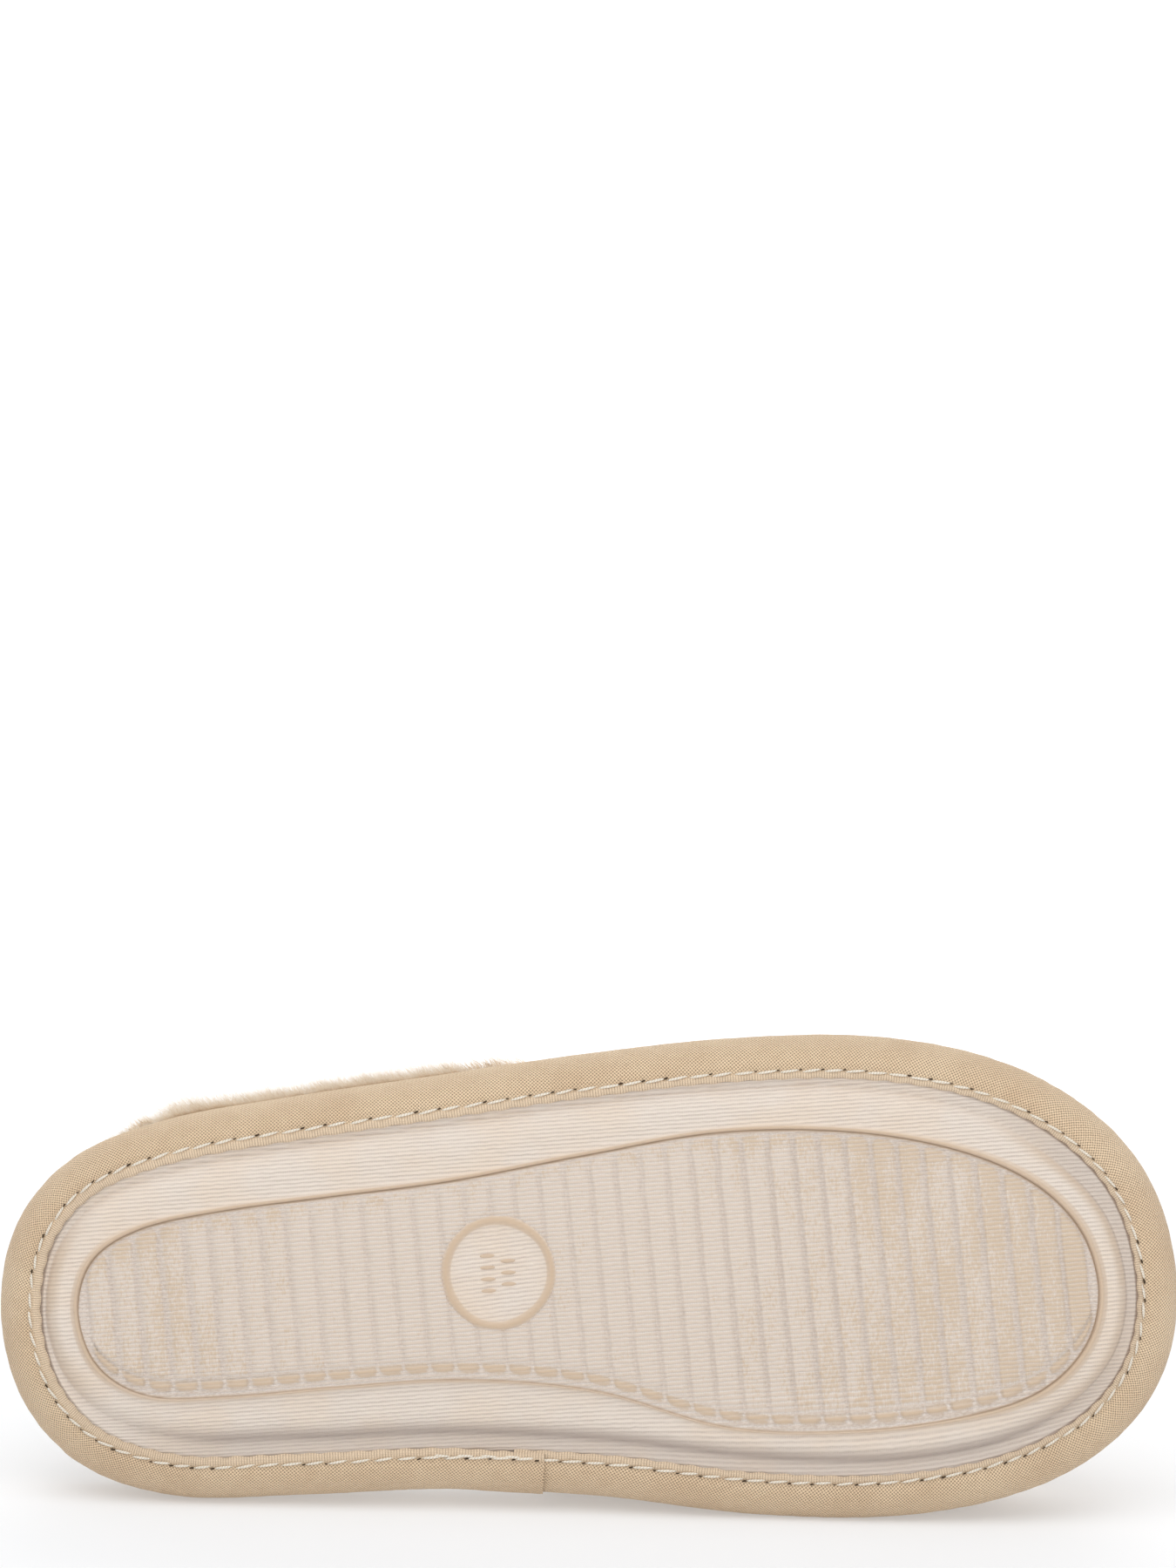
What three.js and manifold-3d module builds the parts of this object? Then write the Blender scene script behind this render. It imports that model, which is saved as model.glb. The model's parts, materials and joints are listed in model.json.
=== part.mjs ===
import * as THREE from "three";
import { LoftGeometry } from "three/addons/geometries/LoftGeometry.js";
import { mergeVertices } from "three/addons/utils/BufferGeometryUtils.js";
import Module from "manifold-3d";

// A backless scuff slipper for the right foot, lying on its inner side, in millimetres with +Z up.
// It is modelled standing, heel at x = 0 and toe at x = length, inner side of the foot at +Y and the
// floor at z = 0, and is laid on its side by the groups at the end of the file.

const wasm = await Module();
wasm.setup();

// Sizes of the whole slipper, measured round the outside of the rand
const length = 266;
const ballWidth = 108.8;
const heelHeight = 22;
const forefootHeight = 17.5;
const toeSpring = 7;
const heelBevel = 1.2;
const archRise = 1.4;

// Where the underside and the pad change along the foot, as shares of length
const bevelTo = 0.1;
const archFrom = 0.28;
const archSpan = 0.3;
const springFrom = 0.72;
const padThinsFrom = 0.3;
const padThinsTo = 0.75;
const waistAt = 0.42;

// Rand: the woven strip wrapped round the edge of the sole
const randThickness = 1.4;
const randAboveTread = 2.4;
const randTurnUnder = 9.3;
const stitchInset = 7;
const randTopRound = 5;
const randTopTurn = 7.4;
const randWidestShare = 0.46;
const lapStep = 0.6;
const lapLength = 11;
const lapAt = 0.453;
const lapSteps = 3;

// Outsole: the moulded sole panel, sewn to the rand along its edge
const panelEdge = 1;
const panelTuck = 7.2;
const gutterInset = 10.4;
const shoulderInset = 13.4;
const marginDrop = 1.6;
const beadWidth = 1.9;
const beadHeight = 1;
const treadInset = 17.8;
const treadLength = 230.1;
const ribPitch = 5.75;
const ribGroove = 1.1;
const ribHeight = 1;
const ribClearOfBead = 1.2;
const ribSkew = -3.4;
const sizeDiscRadius = 12.7;
const sizeDiscRim = 1.9;
const sizeDiscAlong = 112.7;
const sizeDiscAcross = -4.1;
const markLength = 3.4;
const markWidth = 0.9;
const markHeight = 0.5;
const markPitch = 2.6;
const markRowGap = 4.6;
const rooted = 0.4;

// Insole: the padded footbed with its plush face
const pileHeight = 6.5;
const pileDish = 3.2;
const pileEdge = 0.6;
const footbedClear = 1.6;
const pressedPile = 0.4;
const pressedReach = 0.3;
const heelReachFrom = 0.07;
const heelReachTo = 0.12;
const edgeLean = 14;
const faceLean = 55;
const faceLockSize = 0.7;
const lockSides = 5;
const lockRadius = 2.9;
const lockTip = 1.2;
const lockLength = 6.2;
const lockRoot = 1.8;
const edgePitch = 6.4;
const facePitch = 15;

// Section of the plush: how far in from its edge and what share of its height, from the rand inwards
const plushProfile = [
  { inwards: 0.6, share: 0 },
  { inwards: 0, share: 0.35 },
  { inwards: 1.2, share: 0.8 },
  { inwards: 4, share: 1 },
  { inwards: 12, share: 0.7 },
];

// Upper: the plush-lined vamp
const wall = 3;
const featherInset = 4.6;
const instepHeight = 79;
const sideBulge = 0.05;
const throatSide = 0.452;
const throatCrest = 0.54;
const toeRoundFrom = 0.84;
const formBack = 0.3;
const formOpenBy = 0.03;
const throatRun = 0.018;
const throatSlack = 0.003;
const throatBow = 3;
const throatBowAt = 0.72;
const lastSteps = 18;

// Fits and mesh fineness
const gap = 0.3;
const sideSteps = 30;
const nearestStep = 0.4;
const discSteps = 24;
const outerArcSteps = 3;
const innerArcSteps = 2;
const archSteps = 9;

// Plan of the rand and of the bead round the tread. Each row has its place along the piece's own
// length, the middle of its width there, positive towards the inner side, and half its width, both
// as shares of ballWidth.
const soleRows = [
  { at: 0, middle: 0, half: 0 },
  { at: 0.017, middle: 0.003, half: 0.186 },
  { at: 0.067, middle: 0.006, half: 0.32 },
  { at: 0.146, middle: 0.006, half: 0.389 },
  { at: 0.25, middle: -0.007, half: 0.411 },
  { at: 0.371, middle: -0.02, half: 0.427 },
  { at: 0.5, middle: -0.021, half: 0.457 },
  { at: 0.629, middle: -0.005, half: 0.492 },
  { at: 0.75, middle: 0.009, half: 0.496 },
  { at: 0.854, middle: 0.023, half: 0.449 },
  { at: 0.933, middle: 0.037, half: 0.348 },
  { at: 0.983, middle: 0.047, half: 0.198 },
  { at: 1, middle: 0.058, half: 0 },
];
const beadRows = [
  { at: 0, middle: 0, half: 0 },
  { at: 0.017, middle: 0.005, half: 0.112 },
  { at: 0.067, middle: 0.008, half: 0.176 },
  { at: 0.146, middle: -0.002, half: 0.194 },
  { at: 0.25, middle: -0.0155, half: 0.199 },
  { at: 0.371, middle: -0.027, half: 0.208 },
  { at: 0.5, middle: -0.029, half: 0.245 },
  { at: 0.629, middle: -0.002, half: 0.306 },
  { at: 0.75, middle: 0.012, half: 0.312 },
  { at: 0.854, middle: 0.026, half: 0.283 },
  { at: 0.933, middle: 0.042, half: 0.225 },
  { at: 0.983, middle: 0.051, half: 0.127 },
  { at: 1, middle: 0.057, half: 0 },
];

// Ridge of the last over the foot: height above the rand as a share of the height at the instep,
// how far the ridge leans to the inner side as a share of ballWidth, and how full the sides are.
const lastRows = [
  { at: 0.25, height: 1.1, lean: 0.02, fullness: 2.2 },
  { at: 0.42, height: 1.06, lean: 0.03, fullness: 2.25 },
  { at: 0.53, height: 1, lean: 0.04, fullness: 2.3 },
  { at: 0.63, height: 0.875, lean: 0.045, fullness: 2.35 },
  { at: 0.74, height: 0.735, lean: 0.045, fullness: 2.45 },
  { at: 0.86, height: 0.6, lean: 0.035, fullness: 2.55 },
  { at: 1, height: 0.5, lean: 0.02, fullness: 2.6 },
];

// Smooth values between the rows of a table, by the share of the length
function rowReader(rows, names, place = (at) => at) {
  const values = rows.flatMap((row) => names.map((name) => row[name]));
  const places = rows.map((row) => place(row.at));
  const curve = new THREE.CubicInterpolant(places, values, names.length, new Float64Array(names.length));
  return (at) => {
    const found = curve.evaluate(place(at));
    return Object.fromEntries(names.map((name, i) => [name, found[i]]));
  };
}

// A turn of 0 to 1 from heel to toe whose even steps give round ends, and the length share it stands for
const shareOfTurn = (turn) => (1 - Math.cos(Math.PI * turn)) / 2;
const turnOfShare = (share) => Math.acos(1 - 2 * THREE.MathUtils.clamp(share, 0, 1)) / Math.PI;

const soleAt = rowReader(soleRows, ["middle", "half"], turnOfShare);
const beadAt = rowReader(beadRows, ["middle", "half"], turnOfShare);
const lastAt = rowReader(lastRows, ["height", "lean", "fullness"]);

const outerSide = -1;
const innerSide = 1;

// Point of a plan outline at a turn on one side of the foot
function planPoint(reader, start, span, turn, side) {
  const at = shareOfTurn(turn);
  const { middle, half } = reader(at);
  return new THREE.Vector2(start + span * at, ballWidth * (middle + side * half));
}

// The same point moved square to the outline, inwards by inset
function insetPoint(reader, start, span, turn, side, inset) {
  const step = 0.004;
  const ahead = planPoint(reader, start, span, Math.min(turn + step, 1), side);
  const behind = planPoint(reader, start, span, Math.max(turn - step, 0), side);
  if (turn + step > 1) ahead.copy(planPoint(reader, start, span, 2 - turn - step, -side));
  if (turn - step < 0) behind.copy(planPoint(reader, start, span, step - turn, -side));
  const run = ahead.sub(behind).normalize();
  return planPoint(reader, start, span, turn, side).add(
    new THREE.Vector2(side * run.y, -side * run.x).multiplyScalar(inset),
  );
}

const soleInset = (turn, side, inset) => insetPoint(soleAt, 0, length, turn, side, inset);
const beadInset = (turn, side, inset) => insetPoint(beadAt, treadInset, treadLength, turn, side, inset);

// Turns from heel to toe, even ones but for a pair where the throat of the upper stands
function turnsAlong() {
  const throat = [throatSide - throatRun, throatSide].map(turnOfShare);
  const even = [...Array(sideSteps + 1).keys()].map((i) => i / sideSteps);
  const clear = even.filter((turn) => throat.every((other) => Math.abs(turn - other) > nearestStep / sideSteps));
  return [...clear, ...throat].sort((a, b) => a - b);
}

// Turns and sides once round the foot: heel to toe on the outer side and back on the inner one
function stationsRound() {
  const turns = turnsAlong();
  const there = turns.map((turn) => ({ turn, side: outerSide }));
  const back = turns.slice(1, -1).map((turn) => ({ turn, side: innerSide }));
  return [...there, ...back.reverse()];
}

// Height of the worn slipper's underside over the floor: heel bevel, arch and toe spring
function underside(x) {
  const share = x / length;
  const heel = Math.max(0, (bevelTo - share) / bevelTo) ** 2;
  const arch = Math.sin(Math.PI * THREE.MathUtils.clamp((share - archFrom) / archSpan, 0, 1)) ** 2;
  const toe = Math.max(0, (share - springFrom) / (1 - springFrom)) ** 2;
  return heelBevel * heel + archRise * arch + toeSpring * toe;
}

// Height of the top of the rand, where the upper and the insole's plush begin
function randTop(x) {
  const forward = THREE.MathUtils.smoothstep(x / length, padThinsFrom, padThinsTo);
  return underside(x) + THREE.MathUtils.lerp(heelHeight, forefootHeight, forward);
}

// One level ring of a solid round the foot, at height(x, side) over the underside
function ringAt(pointAt, height) {
  return stationsRound().map(({ turn, side }) => {
    const p = pointAt(turn, side);
    return new THREE.Vector3(p.x, p.y, underside(p.x) + height(p.x, side));
  });
}

// A ring drawn together onto the middle line of the foot, which closes a solid
function spineAt(inset, height) {
  const pointAt = (turn) => {
    const a = soleInset(turn, outerSide, inset);
    const b = soleInset(turn, innerSide, inset);
    return a.add(b).multiplyScalar(0.5);
  };
  return ringAt(pointAt, height);
}

// A closed three.js geometry as a solid that can be joined and cut
function solidOf(geometry) {
  const bare = new THREE.BufferGeometry();
  bare.setAttribute("position", geometry.getAttribute("position"));
  bare.setIndex(geometry.index ?? [...Array(geometry.getAttribute("position").count).keys()]);
  const merged = mergeVertices(bare, 1e-4);
  const corners = [];
  for (let i = 0; i < merged.index.count; i += 3) {
    const [a, b, c] = merged.index.array.slice(i, i + 3);
    if (a !== b && b !== c && c !== a) corners.push(a, b, c);
  }
  return new wasm.Manifold(
    new wasm.Mesh({
      numProp: 3,
      vertProperties: merged.getAttribute("position").array,
      triVerts: new Uint32Array(corners),
    }),
  );
}

// The solid between a stack of closed sections; the first and last are spines or lie on one another
const loftSolid = (sections) => solidOf(new LoftGeometry(sections));

function meshOf(name, solid, colour, roughness) {
  const made = solid.getMesh();
  const geometry = new THREE.BufferGeometry();
  geometry.setAttribute("position", new THREE.BufferAttribute(made.vertProperties, 3));
  geometry.setIndex(new THREE.BufferAttribute(made.triVerts, 1));
  geometry.computeVertexNormals();
  const mesh = new THREE.Mesh(geometry, new THREE.MeshStandardMaterial({ color: colour, roughness }));
  mesh.name = name;
  return mesh;
}

// Rand in section, as inset from the outline and height over the underside: the strip's outer face
// from its edge under the sole up to its edge at the top, grown inwards by depth
function randFace(x, depth, steps) {
  const low = randAboveTread + depth;
  const top = randTop(x) - underside(x) - Math.max(depth, 0);
  const widest = THREE.MathUtils.lerp(randAboveTread, randTop(x) - underside(x), randWidestShare);
  const face = [{ inset: randTurnUnder, height: low }];
  for (let i = 0; i <= steps; i++) {
    const angle = ((Math.PI / 2) * i) / steps;
    face.push({
      inset: depth + (stitchInset - depth) * (1 - Math.sin(angle)),
      height: low + (widest - low) * (1 - Math.cos(angle)),
    });
  }
  for (let i = 1; i <= steps; i++) {
    const angle = ((Math.PI / 2) * i) / steps;
    face.push({
      inset: depth + (randTopRound - depth) * (1 - Math.cos(angle)),
      height: widest + (top - widest) * Math.sin(angle),
    });
  }
  face.push({ inset: randTopTurn, height: top });
  return face;
}

// The rand's closed section at one station, its outer face swollen by step where the ends lap
function randSection(turn, side, step = 0) {
  const x = planPoint(soleAt, 0, length, turn, side).x;
  const inner = randFace(x, randThickness, innerArcSteps);
  const outline = [...inner, ...randFace(x, -step, outerArcSteps).reverse()];
  return outline.map(({ inset, height }) => {
    const p = soleInset(turn, side, inset);
    return new THREE.Vector3(p.x, p.y, underside(p.x) + height);
  });
}

function buildRand() {
  const sections = stationsRound().map(({ turn, side }) => randSection(turn, side));
  const ring = loftSolid([...sections, sections[0]]);
  // The strip's heel end laps over its toe end at the inner waist
  const lap = [];
  for (let i = 0; i <= lapSteps; i++) {
    const share = lapAt - (lapLength / length) * (i / lapSteps);
    lap.push(randSection(turnOfShare(share), innerSide, lapStep * (1 - i / lapSteps)));
  }
  return ring.add(solidOf(new LoftGeometry(lap, { capStart: true, capEnd: true })));
}

// Outsole panel: from the spine of the tread out over the bead, margin, shoulder and gutter to the
// edge tucked above the rand, and back over the top
function buildPanel() {
  const floor = beadHeight;
  const margin = marginDrop;
  const low = randAboveTread + randThickness + gap;
  const high = low + panelEdge;
  const ring = (pointAt, inset, height) => ringAt((turn, side) => pointAt(turn, side, inset), () => height);
  return loftSolid([
    spineAt(treadInset + shoulderInset, () => floor),
    ring(beadInset, beadWidth / 2, floor),
    ring(beadInset, 0, 0),
    ring(beadInset, -beadWidth / 2, floor),
    ring(soleInset, shoulderInset, margin),
    ring(soleInset, (gutterInset + shoulderInset) / 2, (margin + low) / 2),
    ring(soleInset, gutterInset, low),
    ring(soleInset, panelTuck, low),
    ring(soleInset, panelTuck, high),
    spineAt(treadInset + shoulderInset, () => high),
  ]);
}

// A flat bar with round ends, standing out of the panel's underside
function bar(lengthAcross, width, height, depthInto) {
  const r = width / 2;
  const run = Math.max(lengthAcross / 2 - r, 0.01);
  const shape = new THREE.Shape();
  shape.absarc(0, run, r, 0, Math.PI, false);
  shape.absarc(0, -run, r, Math.PI, 2 * Math.PI, false);
  const geometry = new THREE.ExtrudeGeometry(shape, {
    depth: height + depthInto,
    bevelEnabled: false,
    curveSegments: 2,
  });
  return geometry.translate(0, 0, -height);
}

// Places a bar on the curved underside, level with the tread's floor and turned about its own height
function onTread(geometry, x, y, skew) {
  const reach = 2;
  const slope = (underside(x + reach) - underside(x - reach)) / (2 * reach);
  return geometry
    .rotateZ(THREE.MathUtils.degToRad(skew))
    .rotateY(-Math.atan(slope))
    .translate(x, y, underside(x) + beadHeight);
}

// Where a rib's middle line meets the inside of the bead on one side
function ribEnd(x, side) {
  const lean = Math.tan(THREE.MathUtils.degToRad(ribSkew));
  let at = x;
  let y = 0;
  for (let i = 0; i < 6; i++) {
    const turn = turnOfShare((at - treadInset) / treadLength);
    const p = beadInset(turn, side, 0);
    y = p.y - side * (beadWidth / 2 + ribClearOfBead);
    at = x - lean * y;
  }
  return y;
}

function buildOutsole() {
  let outsole = buildPanel();
  const ribWidth = ribPitch - ribGroove;
  const count = Math.floor(treadLength / ribPitch) - 1;
  const first = treadInset + (treadLength - (count - 1) * ribPitch) / 2;
  let ribs = null;
  for (let i = 0; i < count; i++) {
    const x = first + i * ribPitch;
    const outer = ribEnd(x, outerSide);
    const inner = ribEnd(x, innerSide);
    if (inner - outer < 2 * ribWidth) continue;
    const middle = (inner + outer) / 2;
    const skewed = x - Math.tan(THREE.MathUtils.degToRad(ribSkew)) * middle;
    const rib = onTread(bar(inner - outer, ribWidth, ribHeight, rooted), skewed, middle, ribSkew);
    ribs = ribs ? ribs.add(solidOf(rib)) : solidOf(rib);
  }
  // The round size disc interrupts the ribs: a raised rim with two rows of plain marks inside it
  const clear = new THREE.CylinderGeometry(sizeDiscRadius, sizeDiscRadius, 2 * ribHeight + 2, discSteps);
  ribs = ribs.subtract(solidOf(onTread(clear.rotateX(Math.PI / 2), sizeDiscAlong, sizeDiscAcross, 0)));
  outsole = outsole.add(ribs).add(solidOf(discRim()));
  for (const row of [-1, 1]) {
    const marks = row < 0 ? 4 : 3;
    for (let i = 0; i < marks; i++) {
      const y = sizeDiscAcross + (i - (marks - 1) / 2) * markPitch;
      const x = sizeDiscAlong + (row * markRowGap) / 2;
      const mark = bar(markWidth, markWidth, markHeight, rooted).scale(markLength / markWidth, 1, 1);
      outsole = outsole.add(solidOf(onTread(mark, x, y, 0)));
    }
  }
  return outsole;
}

// The size disc's rim, a flattened ring rooted in the tread's floor
function discRim() {
  const outer = sizeDiscRadius;
  const inner = sizeDiscRadius - sizeDiscRim;
  const crown = sizeDiscRim / 4;
  const profile = [
    [inner, rooted],
    [outer, rooted],
    [outer, 0],
    [outer - crown, -ribHeight],
    [inner + crown, -ribHeight],
    [inner, 0],
    [inner, rooted],
  ].map(([r, h]) => new THREE.Vector2(r, h));
  const rim = new THREE.LatheGeometry(profile.reverse(), discSteps).rotateX(Math.PI / 2);
  return onTread(rim, sizeDiscAlong, sizeDiscAcross, 0);
}

// How open the slipper is over the insole at x: 1 behind the vamp, 0 under it
const openness = (x) => 1 - THREE.MathUtils.smoothstep(x / length, throatSide - throatRun, throatSide - throatSlack);

// Share of the full overhang that the plush has at x: least at the back of the heel, and pressed
// back on the inner side, which faces the floor
function plushReach(x, side) {
  const pastHeel = THREE.MathUtils.smoothstep(x / length, heelReachFrom, heelReachTo);
  const full = side === outerSide ? 1 : pressedReach;
  return openness(x) * THREE.MathUtils.lerp(pressedReach, full, pastHeel);
}

// Height of the pile at x over the rand: full in the open heel and pressed flatter under the vamp
const pileOver = (x) => pileHeight * THREE.MathUtils.lerp(pressedPile, 1, openness(x));

// Inset of the plush's edge, from inside the upper's wall under the vamp to over the rand behind it
function plushInset(x, side) {
  const closed = featherInset + wall + footbedClear;
  return closed - plushReach(x, side) * (closed - pileEdge);
}

// One lock of the plush, a blunt cone leaning outwards and up, rooted inside the pile
function lockSolid(turn, side, inset, lean, height, size) {
  const root = soleInset(turn, side, inset);
  const far = soleInset(turn, side, inset - 1);
  const out = new THREE.Vector3(far.x - root.x, far.y - root.y, 0).normalize();
  const way = out.multiplyScalar(Math.cos(lean)).add(new THREE.Vector3(0, 0, Math.sin(lean)));
  const cone = new THREE.CylinderGeometry(lockTip, lockRadius, lockLength * size, lockSides);
  cone.translate(0, (lockLength * size) / 2, 0);
  cone.applyQuaternion(new THREE.Quaternion().setFromUnitVectors(new THREE.Vector3(0, 1, 0), way));
  return solidOf(cone.translate(root.x, root.y, randTop(root.x) + height));
}

// Locks along the plush, depth in from its edge, from the vamp round the back to the vamp again,
// wider apart where the plush is pressed back
function addLocks(solid, depth, pitch, lean, height, size) {
  let joined = solid;
  const samples = 400;
  for (const side of [outerSide, innerSide]) {
    let travelled = side === outerSide ? 0 : pitch / 2;
    let last = soleInset(0, side, randTopTurn);
    for (let i = 0; i <= samples; i++) {
      const turn = (turnOfShare(throatSide - throatRun) * i) / samples;
      const p = soleInset(turn, side, randTopTurn);
      const reach = plushReach(p.x, side);
      travelled += p.distanceTo(last) / (2 - reach);
      last = p;
      if (travelled < pitch) continue;
      travelled -= pitch;
      const grown = size * THREE.MathUtils.lerp(0.7, 1, reach);
      joined = joined.add(lockSolid(turn, side, plushInset(p.x, side) + depth, lean, height, grown));
    }
  }
  return joined;
}

// Insole: a foam platform that fills the rand, and the plush that stands over its top edge
function buildInsole() {
  const base = randAboveTread + randThickness + panelEdge + 3 * gap;
  const over = (x) => randTop(x) - underside(x);
  const side = randThickness + gap;
  const insideRand = (place) =>
    stationsRound().map((station) => {
      const x = planPoint(soleAt, 0, length, station.turn, station.side).x;
      const { inset, height } = randFace(x, side, innerArcSteps)[place];
      const p = soleInset(station.turn, station.side, inset);
      return new THREE.Vector3(p.x, p.y, underside(p.x) + Math.max(height, base));
    });
  const neckInset = Math.max(randTopTurn, featherInset + wall) + gap;
  const neck = (drop) => ringAt((turn, foot) => soleInset(turn, foot, neckInset), (x) => over(x) - drop);
  const plush = (more, share) =>
    ringAt(
      (turn, foot) => {
        const x = planPoint(soleAt, 0, length, turn, foot).x;
        return soleInset(turn, foot, plushInset(x, foot) + more);
      },
      (x) => over(x) + gap + (pileOver(x) - gap) * share,
    );
  const foam = loftSolid([
    spineAt(treadInset, () => base),
    ...[1, 2, 3, 4, 5].map(insideRand),
    neck(side),
    neck(-gap),
    ...plushProfile.map(({ inwards, share }) => plush(inwards, share)),
    spineAt(treadInset, (x) => over(x) + pileOver(x) - pileDish * openness(x)),
  ]);
  const level = THREE.MathUtils.degToRad(edgeLean);
  const steep = THREE.MathUtils.degToRad(faceLean);
  const edged = addLocks(foam, lockRoot, edgePitch, level, pileHeight / 2, 1);
  return addLocks(edged, 3 * lockRoot, facePitch, steep, pileHeight - lockRadius, faceLockSize);
}

// One closed section of the last over the foot at a turn, drawn in by shrink, with its base lowered
// by skirt: base middle, up the inner side, over the ridge and down the outer side
function lastSection(turn, shrink, skirt) {
  const outer = soleInset(turn, outerSide, featherInset + shrink);
  const inner = soleInset(turn, innerSide, featherInset + shrink);
  const x = (outer.x + inner.x) / 2;
  const { height, lean, fullness } = lastAt(x / length);
  const tip = soleInset(1, innerSide, featherInset + shrink).x;
  const rounding = THREE.MathUtils.clamp((x - toeRoundFrom * length) / (tip - toeRoundFrom * length), 0, 1);
  const atInstep = instepHeight - randTop(throatCrest * length);
  const rise = (atInstep * height - shrink) * Math.sqrt(1 - rounding ** 2);
  const across = (share, over) => {
    const p = outer.clone().lerp(inner, share);
    return new THREE.Vector3(p.x, p.y, randTop(p.x) + gap + over);
  };
  const arch = [];
  for (let i = 0; i <= 2 * archSteps; i++) {
    const angle = (Math.PI * i) / (2 * archSteps);
    const up = Math.sin(angle) ** (2 / fullness);
    const out = Math.sign(Math.cos(angle)) * Math.abs(Math.cos(angle)) ** (2 / fullness);
    const swell = 1 + sideBulge * Math.sin(Math.PI * Math.min(1, up * 1.2)) ** 2;
    const p = across((1 + out * swell) / 2, rise * up);
    p.y += ballWidth * lean * up ** 2 * (1 - out ** 2);
    arch.push(p);
  }
  return [across(0.5, -skirt), across(1, -skirt), ...arch, across(0, -skirt)];
}

// The last over the foot as one solid, from behind the throat to the toe
function lastSolid(shrink, skirt, back) {
  const sections = [];
  const from = turnOfShare(back);
  for (let i = 0; i <= lastSteps; i++) {
    sections.push(lastSection(THREE.MathUtils.lerp(from, 1, i / lastSteps), shrink, skirt));
  }
  const count = sections[0].length;
  const folded = sections[0].map((p, i) => {
    const mirror = sections[0][(count - i) % count];
    return p.clone().add(mirror).multiplyScalar(0.5);
  });
  return loftSolid([folded, ...sections]);
}

// Everything behind the throat line, seen from the side
function throatCut() {
  const far = 200;
  const side = throatSide * length;
  const crest = throatCrest * length;
  const shape = new THREE.Shape();
  shape.moveTo(-far, -far);
  shape.lineTo(side, -far);
  shape.lineTo(side, randTop(side));
  shape.quadraticCurveTo(side + throatBow, instepHeight * throatBowAt, crest, instepHeight);
  shape.lineTo(crest + (crest - side) * 0.6, instepHeight * 1.3);
  shape.lineTo(-far, instepHeight * 1.3);
  const geometry = new THREE.ExtrudeGeometry(shape, { depth: 2 * far, bevelEnabled: false, curveSegments: 10 });
  return solidOf(geometry.rotateX(Math.PI / 2).translate(0, far, 0));
}

function buildUpper() {
  const outside = lastSolid(0, 0, formBack);
  const inside = lastSolid(wall, 2 * wall, formBack - formOpenBy);
  return outside.subtract(inside).subtract(throatCut());
}

const slipper = new THREE.Group();
slipper.add(
  meshOf("outsole", buildOutsole(), 0xd9cbb8, 0.85),
  meshOf("rand", buildRand(), 0xb99c78, 0.9),
  meshOf("insole", buildInsole(), 0xe2cfae, 1),
  meshOf("upper", buildUpper(), 0xb99c78, 0.9),
);

// World positions of every corner of the named meshes
function corners(group, names) {
  group.updateMatrixWorld(true);
  const found = [];
  for (const mesh of slipper.children) {
    if (!names.includes(mesh.name)) continue;
    const at = mesh.geometry.getAttribute("position");
    for (let i = 0; i < at.count; i++) {
      found.push(new THREE.Vector3().fromBufferAttribute(at, i).applyMatrix4(mesh.matrixWorld));
    }
  }
  return found;
}

// Lays the slipper on its inner side: turned in the plane of the sole until heel and ball stand
// level, and leaned back until the upper's side meets the floor as well
const laid = new THREE.Group();
laid.add(slipper);
const lowest = (points) => points.reduce((low, p) => (p.z < low.z ? p : low));

function levelAt(lean) {
  laid.rotation.x = -Math.PI / 2 - lean;
  for (let i = 0; i < 5; i++) {
    const edge = corners(laid, ["rand"]);
    const heel = lowest(edge.filter((p) => p.x < waistAt * length));
    const ball = lowest(edge.filter((p) => p.x >= waistAt * length));
    slipper.rotation.z -= Math.atan2(heel.z - ball.z, ball.x - heel.x);
  }
  return lowest(corners(laid, ["upper"])).z - lowest(corners(laid, ["rand"])).z;
}

let upright = 0;
let toppled = Math.PI / 4;
for (let i = 0; i < 18; i++) {
  const lean = (upright + toppled) / 2;
  if (levelAt(lean) > 0) upright = lean;
  else toppled = lean;
}

// The origin is under the middle of the laid slipper, on the floor
const box = new THREE.Box3().setFromPoints(corners(laid, ["outsole", "rand", "insole", "upper"]));
const centre = box.getCenter(new THREE.Vector3());
laid.position.set(-centre.x, -centre.y, -box.min.z);

const part = new THREE.Group();
part.add(laid);

export default part;
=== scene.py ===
import json
import math
from bisect import bisect_right

import bmesh
import bpy
import numpy as np
from mathutils import Matrix, Vector, noise
from mathutils.bvhtree import BVHTree


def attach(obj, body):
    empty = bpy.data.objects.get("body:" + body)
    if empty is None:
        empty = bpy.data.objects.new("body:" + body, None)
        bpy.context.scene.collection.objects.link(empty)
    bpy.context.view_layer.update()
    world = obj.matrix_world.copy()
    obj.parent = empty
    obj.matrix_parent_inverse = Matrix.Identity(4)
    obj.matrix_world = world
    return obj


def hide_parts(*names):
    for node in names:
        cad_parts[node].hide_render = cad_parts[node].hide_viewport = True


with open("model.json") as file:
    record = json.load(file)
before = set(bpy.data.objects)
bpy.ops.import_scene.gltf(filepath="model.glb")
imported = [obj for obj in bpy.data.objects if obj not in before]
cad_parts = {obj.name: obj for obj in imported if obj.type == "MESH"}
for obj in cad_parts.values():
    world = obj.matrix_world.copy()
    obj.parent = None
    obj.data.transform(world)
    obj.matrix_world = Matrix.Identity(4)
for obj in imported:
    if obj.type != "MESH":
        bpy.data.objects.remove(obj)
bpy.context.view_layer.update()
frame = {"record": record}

# The slipper is modelled standing, in millimetres: heel at x = 0, inner side at +Y, sole at z = 0.
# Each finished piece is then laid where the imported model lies.
mm = 0.001

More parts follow.
